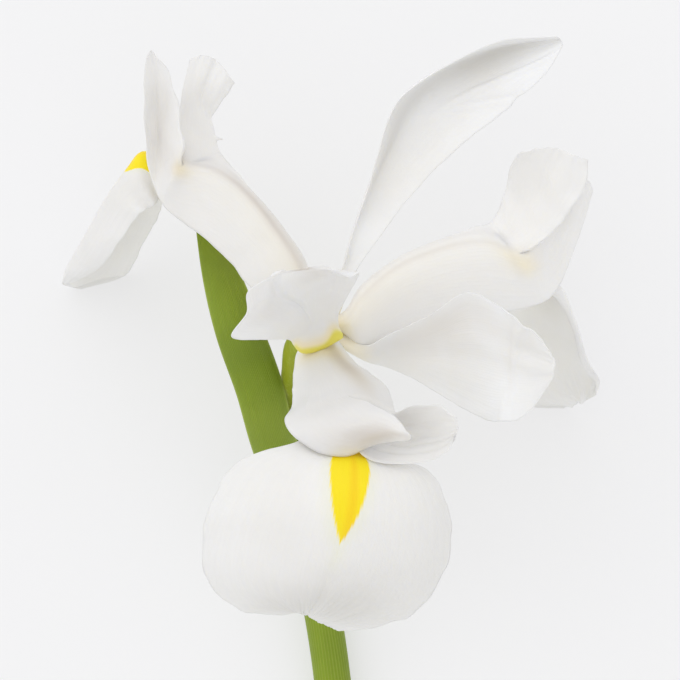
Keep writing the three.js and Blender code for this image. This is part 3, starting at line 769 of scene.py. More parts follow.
STANDARD_RIGHT = {
    "foot": seat(LOWER_RIGHT, STANDARD_RING, -1.3, 1.2),
    "left": [
        (4.6, -0.9, 0.7), (8, 0.8, 3), (15.3, 4.4, 9.5), (21.3, 8.3, 16.5), (26.4, 6.2, 22),
        (30.6, 3.2, 24.5), (33.6, 0.5, 26), (35.3, -1.6, 27.5),
    ],
    "rib": [
        (4.6, -2.3, -0.3), (8.3, -2, 0), (15.3, -1.9, 5), (21.3, -1.7, 12), (26.2, -2.4, 16.5),
        (30.2, -3.3, 17.6), (33.6, -4.2, 21.5), (36.6, -4.8, 28.5),
    ],
    "right": [
        (4.3, -3.6, -0.4), (7.7, -4.6, -0.4), (12.8, -6.8, 4), (19.6, -11, 11), (25.4, -13.9, 17),
        (29.4, -13.9, 20.5), (32.6, -11.9, 23), (34.9, -8.2, 26.5),
    ],
    "ripple": 0.3, "waves": 4, "pleats": 15, "swell": 0.35,
    "creases": [(-0.5, 0.1, 0.2, -0.5, 0.45, 0.75)],
    "bends": [(0.76, 0.035, -0.55)],
    "painted_shade": [(0.5, -0.6, 0.16, 0.45, 0.2), (0.75, -0.1, 0.015, 0.7, 0.1)],
}
STANDARD_LEFT = {
    "foot": seat(HOOD, STANDARD_RING, -1, 1.4),
    "left": [
        (-7.4, -1.1, 3.6), (-8.6, 0, 7), (-10.7, 0.1, 13), (-13.3, 0, 22), (-18.4, 0.4, 32),
        (-15.9, 4.5, 37), (-15.7, 8.2, 40), (-11.4, 11.1, 42.5),
    ],
    "rib": [
        (-5, -1.9, 5.2), (-4.7, 1.9, 6.5), (-5, 4.4, 11), (-5.6, 6.8, 18.5), (-6.6, 8.8, 28),
        (-7.3, 10.2, 35.5), (-7.1, 11.4, 40.5), (-7.4, 11.9, 43),
    ],
    "right": [
        (0.2, 0.3, 3.6), (-0.2, 2.6, 6), (-0.2, 4.6, 10.5), (1.2, 7.2, 17.5), (3.3, 11.3, 27),
        (1.7, 10.6, 34), (-1.4, 11.8, 39.5), (-4.8, 12.1, 43),
    ],
    "ripple": 0.05, "waves": 4, "pleats": 11, "ruffle": 0.05, "nibble": 0.004,
    "creases": [(0.3, -0.6, 0.1, 0.9, 0.3, 0.55), (0.3, 0.75, 0.1, 0.5, 0.5, 0.7)],
    "glow": [(0.22, 0, 0.058, 1.4, 1.2), (0.28, 0.85, 0.08, 0.3, 0.9), (0.28, -0.8, 0.05, 0.3, 0.5)],
    "painted_shade": [
        (0.85, 0.4, 0.2, 0.5, 0.32), (0.66, -0.55, 0.1, 0.25, 0.2), (0.86, -0.9, 0.14, 0.3, 0.2),
        (1, 0.3, 0.025, 0.9, 0.8),
    ],
}

standards = {}
for side, drawing, finish, seed in (
    ("back", STANDARD_BACK, back_finish, 21),
    ("right", STANDARD_RIGHT, petal_white, 22),
    ("left", STANDARD_LEFT, petal_white, 23),
):
    part = petal_part(drawing, *STANDARD_GRID, seed, standard_warmth)
    standards["standard_" + side] = add_petal("standard_" + side, [part], finish)

# %% [markdown]
# ## The style arms
# Over the haft of each fall arches a style arm, which makes the tunnel that a bee creeps into. At
# its end it forks into two crests, and under the fork is the small lip that takes the pollen. Arm
# and crests are one skin. They could be lofted apart and pushed into each other, but then every
# seam shows. So the arm's last row of points is also the first row of both crests: its left half
# carries on as the left crest, and its right half as the right one.

# %% A forked sheet
FORK = 0.6
ARM_FOLD = 1.6
ARM_ROWS = 90
CREST_ROWS = 80
HALF_COLUMNS = 32
ARM_CALM = {**CALM, "ruffle": 0.1, "pleat": 0.01, "swell": 0.12}
CREST_CALM = {**CALM, "ruffle": 0.4, "rate": 1.6, "pleat": 0.015, "pleats": 9, "swell": 0.2}
CREST_BITES = 2.5


def arm_warmth(along, across):
    foot = 1.1 * np.clip(1 - along / 0.18, 0, 1)
    body = 0.32 * (1 - np.abs(across) ** 1.4) * np.clip(1.25 - along / FORK, 0, 1)
    return foot + body


def forked_rails(drawing):
    """The rails of the arm and of both crests. A crest's rails begin with the arm's last two stations."""
    arm = [np.array(rail, float) for rail in drawn_rails(drawing)]
    crests = []
    for key, half, margin in (("left_crest", -0.5, 0), ("right_crest", 0.5, 2)):
        crest = [np.array([seen(p) for p in rail], float) for rail in drawing[key]]
        middle = [section(arm[0][k], arm[1][k], arm[2][k], np.array(half), ARM_FOLD) for k in (-2, -1)]
        starts = [arm[margin][-2:], middle, arm[1][-2:]]
        if margin == 2:
            starts.reverse()
        crests.append([np.concatenate([first, rest]) for first, rest in zip(starts, crest)])
    beyond = (crests[0][0][2], (crests[0][2][2] + crests[1][0][2]) / 2, crests[1][2][2])
    return [np.concatenate([rail, [after]]) for rail, after in zip(arm, beyond)], crests


def crest_sheet(rails, first_row, detail, seed):
    """One crest, eased onto the arm's last row of points."""
    shape, u, v = loft(
        rails, CREST_ROWS, HALF_COLUMNS, start=1 / (len(rails[0]) - 1), nibble=detail["nibble"],
        bites=CREST_BITES, teeth=detail["teeth"], seed=seed,
    )
    join = first_row - shape[0]
    shape += join[None, :, :] * eased(1 - u / 0.25)[..., None]
    return enliven(shape, u, v, detail, seed + 10, np.clip(u / 0.35, 0, 1) ** 2), u, v


def forked_part(drawing, seed):
    drawing = {**CALM, **drawing}
    arm, crests = forked_rails(drawing)
    last = (len(arm[0]) - 2) / (len(arm[0]) - 1)
    grid, u, v = loft(arm, ARM_ROWS, 2 * HALF_COLUMNS, ARM_FOLD, end=last, teeth=drawing["teeth"])
    free = np.clip(u / 0.3, 0, 1) * np.clip((1 - u) / 0.3, 0, 1)
    grid = enliven(grid, u, v, ARM_CALM, seed, free)
    ids = np.arange(u.size).reshape(u.shape)
    points, faces = [grid.reshape(-1, 3)], [patch(ids)]
    values = [[wall(u * 0.5, v).ravel()], [(u * FORK).ravel()], [v.ravel()]]
    count = u.size
    for k, rails in enumerate(crests):
        first = ids[-1, :HALF_COLUMNS + 1] if k == 0 else ids[-1, HALF_COLUMNS:]
        detail = {**CREST_CALM, **drawing["crest_detail"][k]}
        shape, cu, cv = crest_sheet(rails, points[0][first], detail, seed + k)
        fresh = np.arange(count, count + CREST_ROWS * (HALF_COLUMNS + 1)).reshape(CREST_ROWS, -1)
        faces.append(patch(np.concatenate([first[None], fresh])))
        points.append(shape[1:].reshape(-1, 3))
        across = (cv - 1) / 2 if k == 0 else (cv + 1) / 2
        inner_margin = np.abs(cv) * np.clip(cu * 4, 0, 1)
        margin = np.where(np.abs(across) < 0.5, inner_margin, np.abs(cv))
        fresh_values = (wall(0.5 + cu * 0.5, margin), FORK + (1 - FORK) * cu, across)
        for known, more in zip(values, fresh_values):
            known.append(more[1:].ravel())
        count += fresh.size
    thickness, along, across = (np.concatenate(v) for v in values)
    # The glow spots add a painted warm glow of light through the arm at its foot and fork, and under its
    # painted shade they turn that shade brown.
    warm = arm_warmth(along, across) + spots(along, across, drawing["glow"])
    # Painted shade spots on the arm and its crests, where they lie in shadow or turn from the light.
    painted_shade = spots(along, across, drawing["painted_shade"])
    return sheet(np.concatenate(points), np.concatenate(faces), thickness, along, across, warm, painted_shade)


# %% The lip under the fork
LIP_GRID = (14, 24)
LIP_REACH = 0.6
LIP_BELOW = 0.5
LIP_SAG = 0.6


def lip_part(drawing, seed):
    """The small flap that leaves the arm's underside just before the fork and hangs across its mouth."""
    arm, _ = forked_rails(drawing)
    before_fork = (len(arm[0]) - 2.35) / (len(arm[0]) - 1)
    left, rib, right = (line(rail)(np.array(before_fork)) for rail in arm)
    rails = []
    for at, end in zip((-LIP_REACH, 0, LIP_REACH), drawing["lip"]):
        root = section(left, rib, right, np.array(at), ARM_FOLD) - (0, 0, LIP_BELOW)
        rails.append([root, (root + seen(end)) / 2 - (0, 0, LIP_SAG), seen(end)])
    grid, u, v = loft(rails, *LIP_GRID, nibble=0.02, seed=seed)
    warm = 0.5 + 0 * u
    return sheet(*numbered(grid), *(a.ravel() for a in (wall(u, v), u, v, warm)))


# %% Three style arms with their crests and lips
ARM_FRONT = {
    "foot": seat(FRONT, ARM_RING, 1.2, 1.5),
    "left": [(-6.9, -1.5, 0.8), (-7.9, -5, 3), (-8, -8.4, 7.5), (-8.2, -11.4, 13), (-9.4, -13.6, 18.5)],
    "rib": [(-3.6, -0.5, 2.9), (-2.8, -3, 6.5), (-1.5, -5, 12), (0, -7.2, 17.5), (1.6, -9.8, 22)],
    "right": [(-0.2, -0.3, 0.7), (2.6, -3.9, 2.5), (5.4, -5.9, 6.5), (8, -8.2, 12.5), (9.3, -12, 19)],
    "glow": [(0.26, 0, 0.05, 1.2, 0.4), (0.38, 0.42, 0.17, 0.24, 0.4)],
    "painted_shade": [
        (0.38, 0.42, 0.17, 0.24, 0.6), (0.86, -0.62, 0.13, 0.38, 0.62), (0.25, -0.6, 0.1, 0.3, 0.12),
    ],
    "left_crest": [
        [
            (-8.3, -16, 23.2), (-4.4, -18.8, 25), (1, -19.9, 25.2), (5.4, -18.2, 25), (8.6, -17.2, 27),
            (11.5, -17.2, 32.5),
        ],
        [
            (-1.5, -12.8, 25.8), (1.2, -14.8, 28), (4.4, -15.4, 29), (7.4, -15.6, 30.5),
            (9.8, -15.9, 32.4), (12.2, -16.6, 34),
        ],
        [
            (4.8, -10.6, 26), (7.4, -11.7, 29.2), (9.4, -13, 31.8), (10.6, -14.3, 33.6),
            (11.2, -15.3, 34.5), (11.7, -16, 34.8),
        ],
    ],
    "right_crest": [
        [
            (3, -13.5, 23.5), (3, -18.9, 24.9), (8, -21, 27), (13.5, -20.9, 29), (17.8, -19.4, 31.5),
            (19.4, -17, 32.4),
        ],
        [
            (6.4, -13.3, 21.5), (9.2, -15.6, 22), (12, -16.2, 23.4), (15, -15.8, 25.6),
            (17.8, -15.5, 29), (20.1, -15, 33),
        ],
        [
            (9.9, -12.3, 23), (11.6, -11.4, 27), (14.3, -10.8, 30), (16.8, -11.2, 32),
            (18.6, -12.2, 33), (19.5, -13.2, 33.4),
        ],
    ],
    "crest_detail": (
        {},
        {"creases": [
            (-0.2, -0.35, 0.08, 0.5, 0.2, 0.4), (-0.5, -0.6, 0.07, 0.5, 0.15, 0.4),
            (-0.8, -0.8, 0.06, 0.35, 0.15, 0.4),
        ]},
    ),
    "lip": [(-2.2, -13.4, 18.4), (1.6, -12.6, 18.4), (4.8, -12.6, 18)],
}
ARM_LEFT = {
    "foot": seat(LEFT, ARM_RING, -1, 2.6),
    "left": [
        (-14.9, 8.8, -2), (-18.4, 13, -3.5), (-23, 17.3, -5), (-26.4, 19.8, -6.5), (-29.9, 22.8, -7),
    ],
    "rib": [(-7.2, 11.8, 3.5), (-11.6, 18.8, 3), (-16.8, 25, 1.5), (-21.8, 28.4, 0), (-26.6, 29.8, -1)],
    "right": [(-6, 13.3, -5), (-9.4, 18.4, -6), (-13.3, 22.8, -8), (-16.8, 27.6, -9), (-20.2, 31.6, -9)],
    "glow": [(0.6, -0.14, 0.05, 0.2, 0.5)],
    "painted_shade": [
        (0.36, 0.1, 0.22, 0.12, 0.4), (0.36, 0.4, 0.25, 0.35, 0.24), (0.78, -0.45, 0.13, 0.3, 0.22),
        (0.61, -0.14, 0.07, 0.25, 0.18),
    ],
    "left_crest": [
        [(-32, 27.2, -6), (-33, 32.3, -3.5), (-33.3, 39.1, 0), (-33.3, 44.2, 3), (-32.8, 48.2, 5.6)],
        [(-29.8, 30, -5), (-30.5, 34.4, -4.8), (-30.7, 39, -2.6), (-31, 43.6, 1), (-32, 49.2, 6)],
        [(-26.4, 33.2, 2), (-27.3, 37.4, 2.8), (-27.7, 41.2, 4), (-29.2, 45.6, 5.5), (-31.4, 48.4, 6.6)],
    ],
    "right_crest": [
        [(-28, 33.6, -2.6), (-27.4, 38.8, -3.2), (-26.6, 43.2, -2.6), (-25.6, 47.6, -1)],
        [(-23.9, 34.6, -5.4), (-24.2, 39.2, -3.6), (-23.2, 43.8, -1.4), (-21.8, 48, -0.4)],
        [(-21.2, 34.8, -7.6), (-21.6, 38.2, -6.2), (-19.2, 41.6, -3.6), (-17.9, 43.6, -2.4)],
    ],
    "crest_detail": (
        {"creases": [(0.1, 0.2, 0.2, -0.3, 0.2, 0.6)]},
        {
            "creases": [(-0.1, 0.2, 0.14, 0.6, 0.4, 0.8), (0.5, 0.7, 0.14, -0.5, 0.4, 0.8)],
            "teeth": [(1, 0.21, 0.02, 0.7)],
        },
    ),
    "lip": [(-30.2, 24.6, -8.6), (-28.8, 28.6, -5.4), (-24.6, 31.6, -8.8)],
}
ARM_RIGHT = {
    "foot": seat(RIGHT, ARM_RING, -1, 2.6),
    "left": [
        (1.4, 5.6, -2.6), (3.9, 9.5, -3.8), (10.2, 13.9, -6), (17, 16.8, -8), (22.6, 19, -8.5),
        (25.6, 20, -8.5),
    ],
    "rib": [
        (1.6, 3.4, 1.8), (4.6, 7.4, 2.2), (10.4, 12, 2.2), (17.8, 15, 1.5), (24.7, 16, 0.9),
        (30.6, 14.6, 0.4),
    ],
    "right": [
        (3.9, -1, -0.4), (7.7, -0.9, -0.6), (15.3, 2.4, -0.4), (22.1, 4, -0.9), (28, 4.7, -1.6),
        (34.5, 6.4, -3),
    ],
    "teeth": [(-1, 0.86, 0.012, 0.2)],
    "glow": [(0.58, 0.04, 0.05, 0.2, 0.26), (0.6, 0.3, 0.05, 0.22, 0.34)],
    "painted_shade": [(0.36, -0.08, 0.22, 0.1, 0.27), (0.36, -0.5, 0.24, 0.2, 0.14)],
    "left_crest": [
        [(27.4, 23.2, -6), (28.3, 26.4, -3), (28.8, 29.2, 1), (30.3, 31.6, 5)],
        [(31.2, 20.6, -1.4), (33, 25, 0.6), (34.4, 29, 4), (36, 32.6, 8)],
        [(35.6, 17.8, 2.4), (38.8, 21.4, 4.4), (41.8, 26, 7), (42.1, 30.5, 10)],
    ],
    "right_crest": [
        [(34.4, 18.6, -0.6), (37.2, 22.2, 0.6), (40, 25.4, 3), (41.7, 27.4, 4.6)],
        [(35.8, 13.6, -3.8), (37.8, 17.6, -3), (39.9, 21.8, -0.4), (42.6, 26.6, 3.6)],
        [(37.4, 9.4, -5.4), (39.2, 13.6, -6), (41.1, 19, -4), (43, 25.2, 2.4)],
    ],
    "crest_detail": (
        {"creases": [(0.3, 0.6, 0.2, -0.5, 0.3, 0.7)]},
        {"creases": [(0, 0, 0.3, -0.14, 0.3, 0.7)], "ruffle": 0.08, "swell": 0.1},
    ),
    "lip": [(30.6, 16.6, -6), (32.2, 13.8, -4.6), (33.6, 11, -5.6)],
}

arms = {}
for side, drawing, seed in (("front", ARM_FRONT, 31), ("left", ARM_LEFT, 32), ("right", ARM_RIGHT, 33)):
    parts = [forked_part(drawing, seed), lip_part(drawing, seed + 50)]
    arms["style_arm_" + side] = add_petal("style_arm_" + side, parts, style_cream)

# %% [markdown]
# ## Stalks made by Geometry Nodes
# Stem, ovary and filaments are all round stalks that follow a path, so one node tree makes them
# all. It sweeps a ribbed circle along a curve whose points carry the stalk's radius. The ribs are
# the strands that run through a stem.

# %% Geometry Nodes tree: ribbed stalk
stalk_tree, given, give = group(
    "ribbed stalk",
    [
        ("Path", GEOMETRY, None), ("Steps", INTEGER, 120), ("Sides", INTEGER, 48),
        ("Ribs", INTEGER, 12), ("Rib height", FLOAT, 0.02), ("Material", MATERIAL, None),
    ],
    [("Geometry", GEOMETRY)],
    "GeometryNodeTree",
)
steps = {"Curve": given["Path"], "Count": given["Steps"]}
smooth_path = node(stalk_tree, "GeometryNodeResampleCurve", steps)
ring = node(stalk_tree, "GeometryNodeCurvePrimitiveCircle", {"Resolution": given["Sides"], "Radius": 1.0})
factor = node(stalk_tree, "GeometryNodeSplineParameter").outputs["Factor"]
turn = times(stalk_tree, factor, 2 * math.pi)
ribs = calc(stalk_tree, "COSINE", times(stalk_tree, turn, given["Ribs"]))
swollen = calc(stalk_tree, "MULTIPLY_ADD", ribs, given["Rib height"], 1.0)
position = node(stalk_tree, "GeometryNodeInputPosition").outputs[0]
ribbed = node(stalk_tree, "ShaderNodeVectorMath", {0: position, "Scale": swollen}, operation="SCALE")
outline = {"Geometry": ring.outputs["Curve"], "Position": ribbed.outputs[0]}
profile = node(stalk_tree, "GeometryNodeSetPosition", outline)
sweep = {
    "Curve": smooth_path.outputs[0],
    "Profile Curve": profile.outputs[0],
    "Scale": node(stalk_tree, "GeometryNodeInputRadius").outputs[0],
    "Fill Caps": True,
}
swept = node(stalk_tree, "GeometryNodeCurveToMesh", sweep)
soft = node(stalk_tree, "GeometryNodeSetShadeSmooth", {"Geometry": swept.outputs[0]})
whole = node(stalk_tree, "GeometryNodeRealizeInstances", {"Geometry": soft.outputs[0]})
dressed = {"Geometry": whole.outputs[0], "Material": given["Material"]}
give("Geometry", node(stalk_tree, "GeometryNodeSetMaterial", dressed).outputs[0])
print("ribbed stalk:", len(stalk_tree.nodes), "nodes")

# %% Run a tree once and keep the plain mesh


def grown(name, source, tree, values):
    """Runs a Geometry Nodes tree on the source and returns a plain mesh piece."""
    modifier = source.modifiers.new("grow", "NODES")
    modifier.node_group = tree
    for item in tree.interface.items_tree:
        if item.in_out == "INPUT" and item.name in values:
            modifier[item.identifier] = values[item.name]
    source.update_tag()
    evaluated = source.evaluated_get(bpy.context.evaluated_depsgraph_get())
    mesh = bpy.data.meshes.new_from_object(evaluated)
    mesh.name = name
    source.modifiers.remove(modifier)
    bpy.data.objects.remove(source)
    return add_object(name, mesh)


def path_curve(name, points, radii):
    """A curve object on the table. Points and radii are in millimetres."""
    data = bpy.data.curves.new(name, "CURVE")
    data.dimensions = "3D"
    spline = data.splines.new("POLY")
    spline.points.add(len(points) - 1)
    for slot, place, size in zip(spline.points, on_table(points), radii):
        slot.co = (*place, 1)
        slot.radius = size / MM_PER_METRE
    return add_object(name, data)


PATH_POINTS = 320


def stalk(name, path, radii, finish, steps, sides, ribs, rib_height):
    """A stalk along a path. The radii are spread evenly over its length."""
    share = np.linspace(0, 1, PATH_POINTS)
    sizes = np.interp(share, np.linspace(0, 1, len(radii)), radii)
    source = path_curve(name, line(path)(share), sizes)
    values = {"Steps": steps, "Sides": sides, "Ribs": ribs, "Rib height": rib_height, "Material": finish}
    return outward(grown(name, source, stalk_tree, values))


# %% A cut end
CUT_RIM = 0.0003
CUT_SLOPE = 0.0001
CUT_DEPTH = 0.0001
CUT_PALENESS = 0.9


def show_cut_face(piece):
    """Gives both ends of a stalk a pale, slightly sunken heart inside a green rim."""
    shape = bmesh.new()
    shape.from_mesh(piece.data)
    ends = [face for face in shape.faces if len(face.verts) > 4]
    pale = shape.verts.layers.float.new("warm")
    bmesh.ops.inset_individual(shape, faces=ends, thickness=CUT_RIM, depth=0.0)
    bmesh.ops.inset_individual(shape, faces=ends, thickness=CUT_SLOPE, depth=-CUT_DEPTH)
    for face in ends:
        face.smooth = False
        for corner in face.verts:
            corner[pale] = CUT_PALENESS
    shape.to_mesh(piece.data)
    shape.free()


# %% [markdown]
# ## Green finishes
# The stem and the sheathing leaf are a fresh yellow-green with fine parallel strands, a little
# bloom and a satin shine. Strands run along both, so the material stretches its noise along the
# stem, and the leaf uses the same fanned veins as the petals, with paler margins.

# %% Green materials
LEAF_GREEN = (0.25, 0.35, 0.018, 1)
LEAF_DARK = (0.19, 0.27, 0.016, 1)
# The deep green is the leaf's painted shade.
LEAF_PAINTED_SHADE = (0.12, 0.18, 0.012, 1)
LEAF_PALE = (0.42, 0.50, 0.10, 1)
STEM_GREEN = (0.25, 0.38, 0.01, 1)
TUBE_GREEN = (0.36, 0.41, 0.02, 1)
TUBE_DARK = (0.27, 0.32, 0.015, 1)


def green_material(name, main, dark, strands_by_uv=False):
    made, tree, shader = material(name)
    flesh = placed(tree, skin, {"Cells": 5200.0, "Patches": 45.0})
    colour = blend(tree, ramp(tree, flesh["Drift"], 0.3, 0.72), main, dark)
    if strands_by_uv:
        along, across = blade_map(tree)
        fan = placed(tree, veins, {"Across": across, "Along": along, "Count": 30.0, "Waver": 0.12})
        height = fan["Height"]
        colour = blend(tree, times(tree, fan["Mask"], 0.28), colour, LEAF_PALE)
        margin = calc(tree, "ABSOLUTE", calc(tree, "MULTIPLY_ADD", across, 2.0, -1.0))
        colour = blend(tree, ramp(tree, margin, 0.86, 1.0, 0.0, 0.7), colour, LEAF_PALE)
    else:
        place = node(tree, "ShaderNodeTexCoord").outputs["Object"]
        drawn = node(tree, "ShaderNodeMapping", {0: place, 3: (1.0, 0.03, 1.0)}).outputs[0]
        grain = {"Vector": drawn, "Scale": 2600.0, "Detail": 2.0}
        height = node(tree, "ShaderNodeTexNoise", grain).outputs["Fac"]
        colour = blend(tree, ramp(tree, height, 0.5, 0.72, 0.0, 0.4), colour, LEAF_PALE)
    # Paler where the mesh is warm: the cut stem's heart and the leaf's base have this colour of their
    # own, while the leaf's two bands higher up are painted light.
    colour = blend(tree, ramp(tree, mark(tree, "warm"), 0.0, 1.0), colour, LEAF_PALE)
    # Painted shade: a deep green where the mesh carries its shade value.
    colour = blend(tree, mark(tree, "painted_shade"), colour, LEAF_PAINTED_SHADE)
    tree.links.new(ramp(tree, flesh["Drift"], 0.3, 0.7, 0.34, 0.5), shader.inputs["Roughness"])
    layers = [(flesh["Height"], 0.15, 0.00008), (height, 0.4, 0.00015)]
    values = {
        "Specular IOR Level": 0.25, "Subsurface Weight": 0.15, "Subsurface Radius": (0.6, 1.0, 0.3),
        "Subsurface Scale": 0.0006,
    }
    surface(tree, shader, colour, layers, values)
    return made


leaf_green = green_material("leaf green", LEAF_GREEN, LEAF_DARK, strands_by_uv=True)
stem_green = green_material("stem green", STEM_GREEN, LEAF_DARK)
tube_green = green_material("tube yellow-green", TUBE_GREEN, TUBE_DARK)
print("green materials:", leaf_green.name, stem_green.name, tube_green.name)

# %% [markdown]
# ## Ovary, tube and stem
# Behind the petals the tube narrows, swells into the ovary and meets the stem. The stem was cut
# straight across, and it has a slight ring where the sheathing leaf grows from it.

# %% Ovary and stem
STEM_RADIUS = 2.3
STEM_STATIONS = 241
RING_HEIGHT = 0.25
RING_PLACE = 0.757
RING_BREADTH = 0.007
TUBE_PATH = [
    TUBE_MOUTH,
    TUBE_MOUTH - 1.6 * FLOWER_AXIS,
    seen((-6.6, -0.8, -7.6)),
    seen((-7.2, -5.6, -14)),
    seen((-7.5, -9.6, -19.5)),
    seen((-7, -13.6, -24.4)),
]
TUBE_RADII = [4.5, 3, 2.6, 2.8, 2.9, 2.4]
ovary = stalk(
    "ovary_stalk", TUBE_PATH, TUBE_RADII, tube_green, steps=90, sides=48, ribs=6, rib_height=0.02
)
print("ovary:", triangles(ovary), "triangles")

STEM_PATH = [
    (-6.9, -14.3, -24.9), (-6.6, -19.5, -30), (-5.6, -30.6, -36.4), (-4, -40.8, -40), (-2.2, -51, -41.8),
    (-0.8, -62, -42.4), (1.2, -80, -42.8), (3, -105, -43.5), (4.8, -129, -43.7),
]
station = np.linspace(0, 1, STEM_STATIONS)
stem_radii = STEM_RADIUS + RING_HEIGHT * bell(station, RING_PLACE, RING_BREADTH)
stem_line = [seen(p) for p in STEM_PATH]
stem = stalk(
    "stem_stalk", stem_line, stem_radii, stem_green, steps=320, sides=64, ribs=16, rib_height=0.008
)
show_cut_face(stem)
print("stem:", triangles(stem), "triangles")

# %% [markdown]
# ## The sheathing leaf
# One green blade wraps the stem at its base, opens out and runs up behind the flower to a point.
# Its section is an arc: nearly a full circle round the stem, and nearly flat at the tip. The
# strands stand out as low ribs, so the grid is fine across the blade. At the very base the leaf
# closes in until it hugs the stem.

# %% The sheathing leaf
SHEATH_WALL = 0.6
SHEATH_GAP = 0.5
SHEATH = STEM_RADIUS + SHEATH_GAP + SHEATH_WALL / 2
HUG_GAP = 0.06
HUG_SHARE = 1 / 22
UP = np.array([0, 0, 1.0])


def above_stem(i):
    """A place on the sheath's crown, straight above the stem's point number i."""
    before, here, after = (np.array(seen(STEM_PATH[k])) for k in (i - 1, i, i + 1))
    along = unit(after - before)
    return here + unit(UP - along * UP.dot(along)) * SHEATH


# Each station is a place on the crown line, half the leaf's breadth, and half its arc in degrees.
STATIONS = [
    (above_stem(6), SHEATH, 150), (above_stem(5), SHEATH, 150), (above_stem(4), SHEATH, 140),
    (above_stem(3), SHEATH + 0.1, 110), (seen((-6, -30.6, -32.2)), 3.9, 78),
    (seen((-11, -18.4, -17.5)), 3.9, 50), (seen((-13.8, -8, -12.8)), 4.1, 36),
    (seen((-17.4, 2, -13)), 4, 36), (seen((-20.6, 12, -16)), 3.1, 36),
    (seen((-24.4, 23.4, -19.5)), 0.6, 36),
]


def leaf_grid(rows, columns):
    u, v = shares(rows, columns)
    crown_line = line([place for place, _, _ in STATIONS])
    crown = crown_line(u)
    nudge = 0.001
    along = crown_line(u + nudge) - crown_line(u - nudge)
    along /= np.linalg.norm(along, axis=2, keepdims=True)
    shape = line([(breadth, arc, 0) for _, breadth, arc in STATIONS])(u)
    across = np.cross(UP, along)
    across /= np.linalg.norm(across, axis=2, keepdims=True)
    up = np.cross(along, across)
    half = np.radians(shape[..., 1])
    hug = (SHEATH_GAP - HUG_GAP) * np.clip(1 - u / HUG_SHARE, 0, 1) ** 2
    crown = crown - up * hug[..., None]
    radius = shape[..., 0] / np.sin(np.minimum(half, np.pi / 2)) - hug
    sideways = across * (radius * np.sin(v * half))[..., None]
    return crown - sideways + up * (radius * (np.cos(v * half) - 1))[..., None], u, v


LEAF_GRID = (260, 90)
LEAF_MARGIN = 0.25
LEAF_BODY = 0.33
LEAF_RIB = 0.03
LEAF_RIB_WAVES = 13
grid, u, v = leaf_grid(*LEAF_GRID)
thickness = LEAF_MARGIN + LEAF_BODY * (1 - np.abs(v) ** 3) * np.clip(u * 12, 0.1, 1)
thickness += LEAF_RIB * np.cos(v * LEAF_RIB_WAVES * 2 * np.pi) * (1 - np.abs(v) ** 6)
# The leaf's pale base is its own colour. The two pale bands higher up are painted light, and the dark
# band between them is painted shade.
pale = 0.6 * np.clip(1 - u * 14, 0, 1) + spots(u, v, [(0.6, 0, 0.06, 2, 0.24), (0.9, 0, 0.05, 2, 0.14)])
leaf_painted_shade = spots(u, v, [(0.73, 0, 0.06, 2, 0.5)])
leaf_part = sheet(*numbered(grid), *(a.ravel() for a in (thickness, u, v, pale, leaf_painted_shade)))
leaf = outward(add_mesh("spathe_leaf", [leaf_part], leaf_green))
print("sheathing leaf:", triangles(leaf), "triangles")

# %% [markdown]
# ## Stamens dusted with pollen
# Under each style arm hides one stamen: a thin filament with a long anther that has split open.
# The filament uses the stalk tree. The pollen is hundreds of grains that repeat, which is work for
# Geometry Nodes: points scattered over the anther, a small ball on each, in random sizes.

# %% Geometry Nodes tree: pollen
pollen_tree, given, give = group(
    "pollen grains",
    [
        ("Anther", GEOMETRY, None), ("Grains per square metre", FLOAT, 6e6),
        ("Grain size", FLOAT, 0.00009), ("Seed", INTEGER, 4),
        ("Body material", MATERIAL, None), ("Grain material", MATERIAL, None),
    ],
    [("Geometry", GEOMETRY)],
    "GeometryNodeTree",
)
scatter = {"Mesh": given["Anther"], "Density": given["Grains per square metre"], "Seed": given["Seed"]}
spread = node(pollen_tree, "GeometryNodeDistributePointsOnFaces", scatter)
ball = node(pollen_tree, "GeometryNodeMeshIcoSphere", {"Radius": given["Grain size"], "Subdivisions": 1})
LEAST_SLOT, MOST_SLOT, SEED_SLOT = 2, 3, 8
chance = {LEAST_SLOT: 0.6, MOST_SLOT: 1.3, SEED_SLOT: given["Seed"]}
sizes = node(pollen_tree, "FunctionNodeRandomValue", chance, data_type="FLOAT")
copies = {"Points": spread.outputs["Points"], "Instance": ball.outputs["Mesh"], "Scale": sizes.outputs[1]}
grains = node(pollen_tree, "GeometryNodeInstanceOnPoints", copies)
real = node(pollen_tree, "GeometryNodeRealizeInstances", {"Geometry": grains.outputs[0]})
joined = node(pollen_tree, "GeometryNodeJoinGeometry")
for geometry, finish in (
    (real.outputs[0], given["Grain material"]),
    (given["Anther"], given["Body material"]),
):
    dressed = node(pollen_tree, "GeometryNodeSetMaterial", {"Geometry": geometry, "Material": finish})
    pollen_tree.links.new(dressed.outputs[0], joined.inputs[0])
give("Geometry", joined.outputs[0])
print("pollen grains:", len(pollen_tree.nodes), "nodes")

# %% Pollen materials


def dust_material(name, colour_a, colour_b):
    made, tree, shader = material(name)
    flesh = placed(tree, skin, {"Patches": 1500.0})
    colour = blend(tree, ramp(tree, flesh["Drift"], 0.35, 0.65), colour_a, colour_b)
    surface(tree, shader, colour, [(flesh["Height"], 0.3, 0.00006)], {"Roughness": 0.8})
    return made


anther_cream = dust_material("anther cream", (0.80, 0.72, 0.42, 1), (0.72, 0.66, 0.38, 1))
pollen_gold = dust_material("pollen gold", (0.86, 0.66, 0.18, 1), (0.80, 0.56, 0.10, 1))
print("pollen materials:", anther_cream.name, pollen_gold.name)

